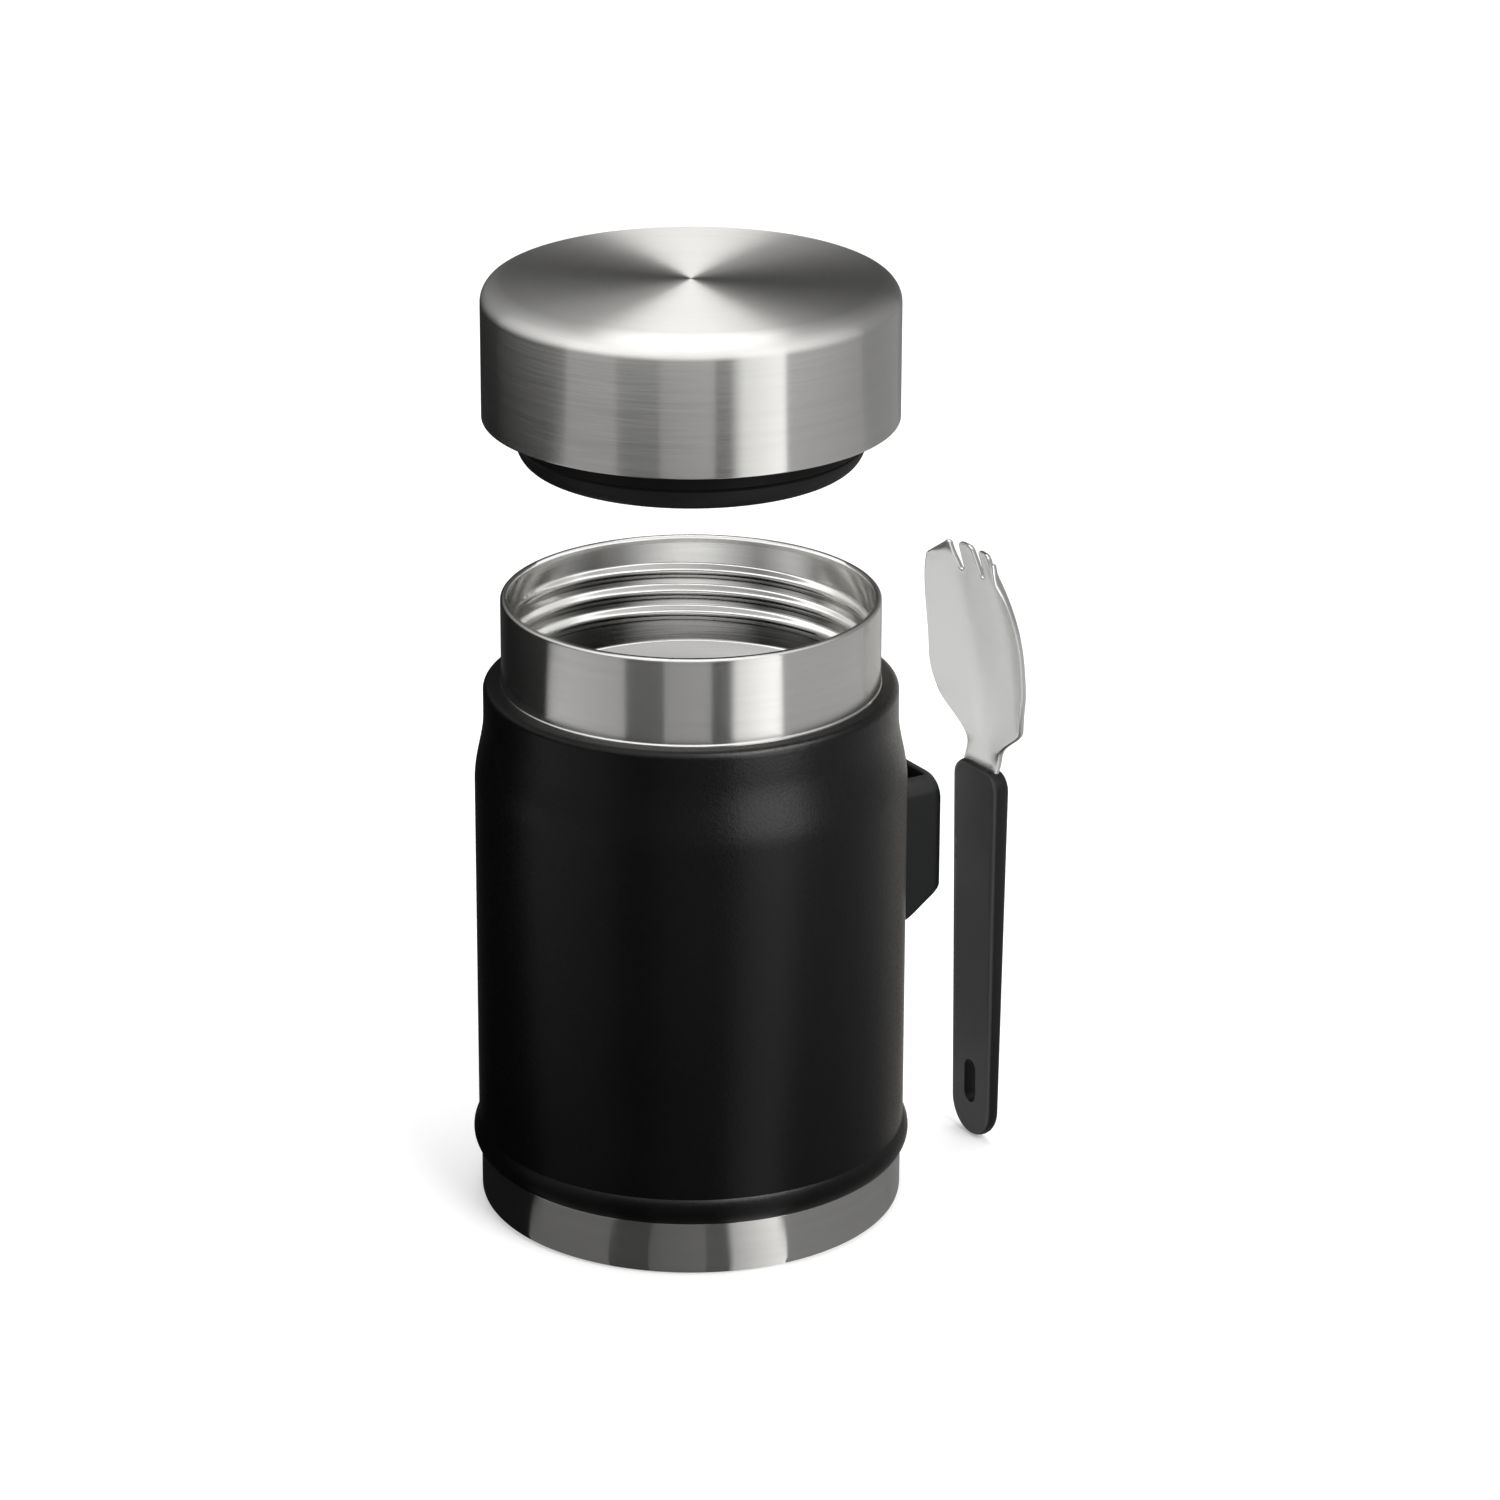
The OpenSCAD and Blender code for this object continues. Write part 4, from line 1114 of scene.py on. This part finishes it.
def light_mouth_top(*inside):
    over = [(radius, MOUTH_TOP_Z) for radius, _ in MOUTH_RINGS]
    shares = np.array([share for _, share in MOUTH_RINGS])
    for number, ((start, first), (end, last)) in enumerate(zip(MOUTH_TOP, MOUTH_TOP[1:])):
        columns = polar(start, end, over)
        glows = np.linspace(first, last, len(columns))[:, None] * shares
        card(f"mouth_top_{number}", columns, glows, *inside)


def light_mouth(neck, *inside):
    light_mouth_wall()
    light_mouth_top(*inside)
    dark = disc(CAVITY_R - 0.2, MOUTH_DARK_Z)
    towards = np.cos(np.linspace(-math.pi, math.pi, len(dark)))[:, None]
    card("mouth_dark", dark, MOUTH_DARK_GLOW * np.clip(towards, 0, 1) ** 2)
    card("floor_glow", disc(MOUTH_WALL_R, MOUTH_DARK_Z - 1), MOUTH_FLOOR_GLOW, *inside)
    card("rim_glow", polar(*RIM_SPAN, RIM_SHEET), RIM_GLOW, neck)


# The sheen on the coated wall's shoulder and bead comes from inside the dome: where the sheet starts,
# where it ends and how it glows at each height, going up. The grey edge on the wall's right
# comes from upright runs of two glows each
COAT_ROWS = [(20, 52, 4), (20, 52, 4), (20, 55, 5), (20, 58, 7), (27, 80, 16), (32, 100, 16)]
COAT_SHARE = 0.9                   # of the dome's radius
EDGE_RUNS = [(80, 130, 0, 0.6), (130, 178, 0.6, 0.6)]
EDGE_SHEET = [(58, 0), (58, 125)]
EDGE_COLOUR = (1, 0.95, 0.84)


def light_coat(wall):
    starts, ends, glows = zip(*COAT_ROWS)
    profile = [(COAT_SHARE * radius, z) for radius, z in DOME[-len(COAT_ROWS):]]
    card("coat_glow", polar(starts, ends, profile), glows, wall)
    for start, end, first, last in EDGE_RUNS:
        columns = polar(start, end, EDGE_SHEET)
        glows = np.linspace(first, last, len(columns))[:, None]
        card(f"edge_glow_{start}", columns, glows, wall, colour=EDGE_COLOUR)


def make_studio():
    make_camera()
    make_floor()
    make_world()
    make_cards()
    for lamp in LAMPS:
        make_lamp(*lamp)
    bpy.context.scene.view_settings.view_transform = "Standard"


make_studio()
build_pieces()
light_spork(bpy.data.objects["spork_steel"], bpy.data.objects["spork_grip"])
light_mouth(*(bpy.data.objects[name] for name in ("steel_neck", "steel_liner", "liner_floor")))
light_coat(bpy.data.objects["coated_wall"])
paint_hidden()
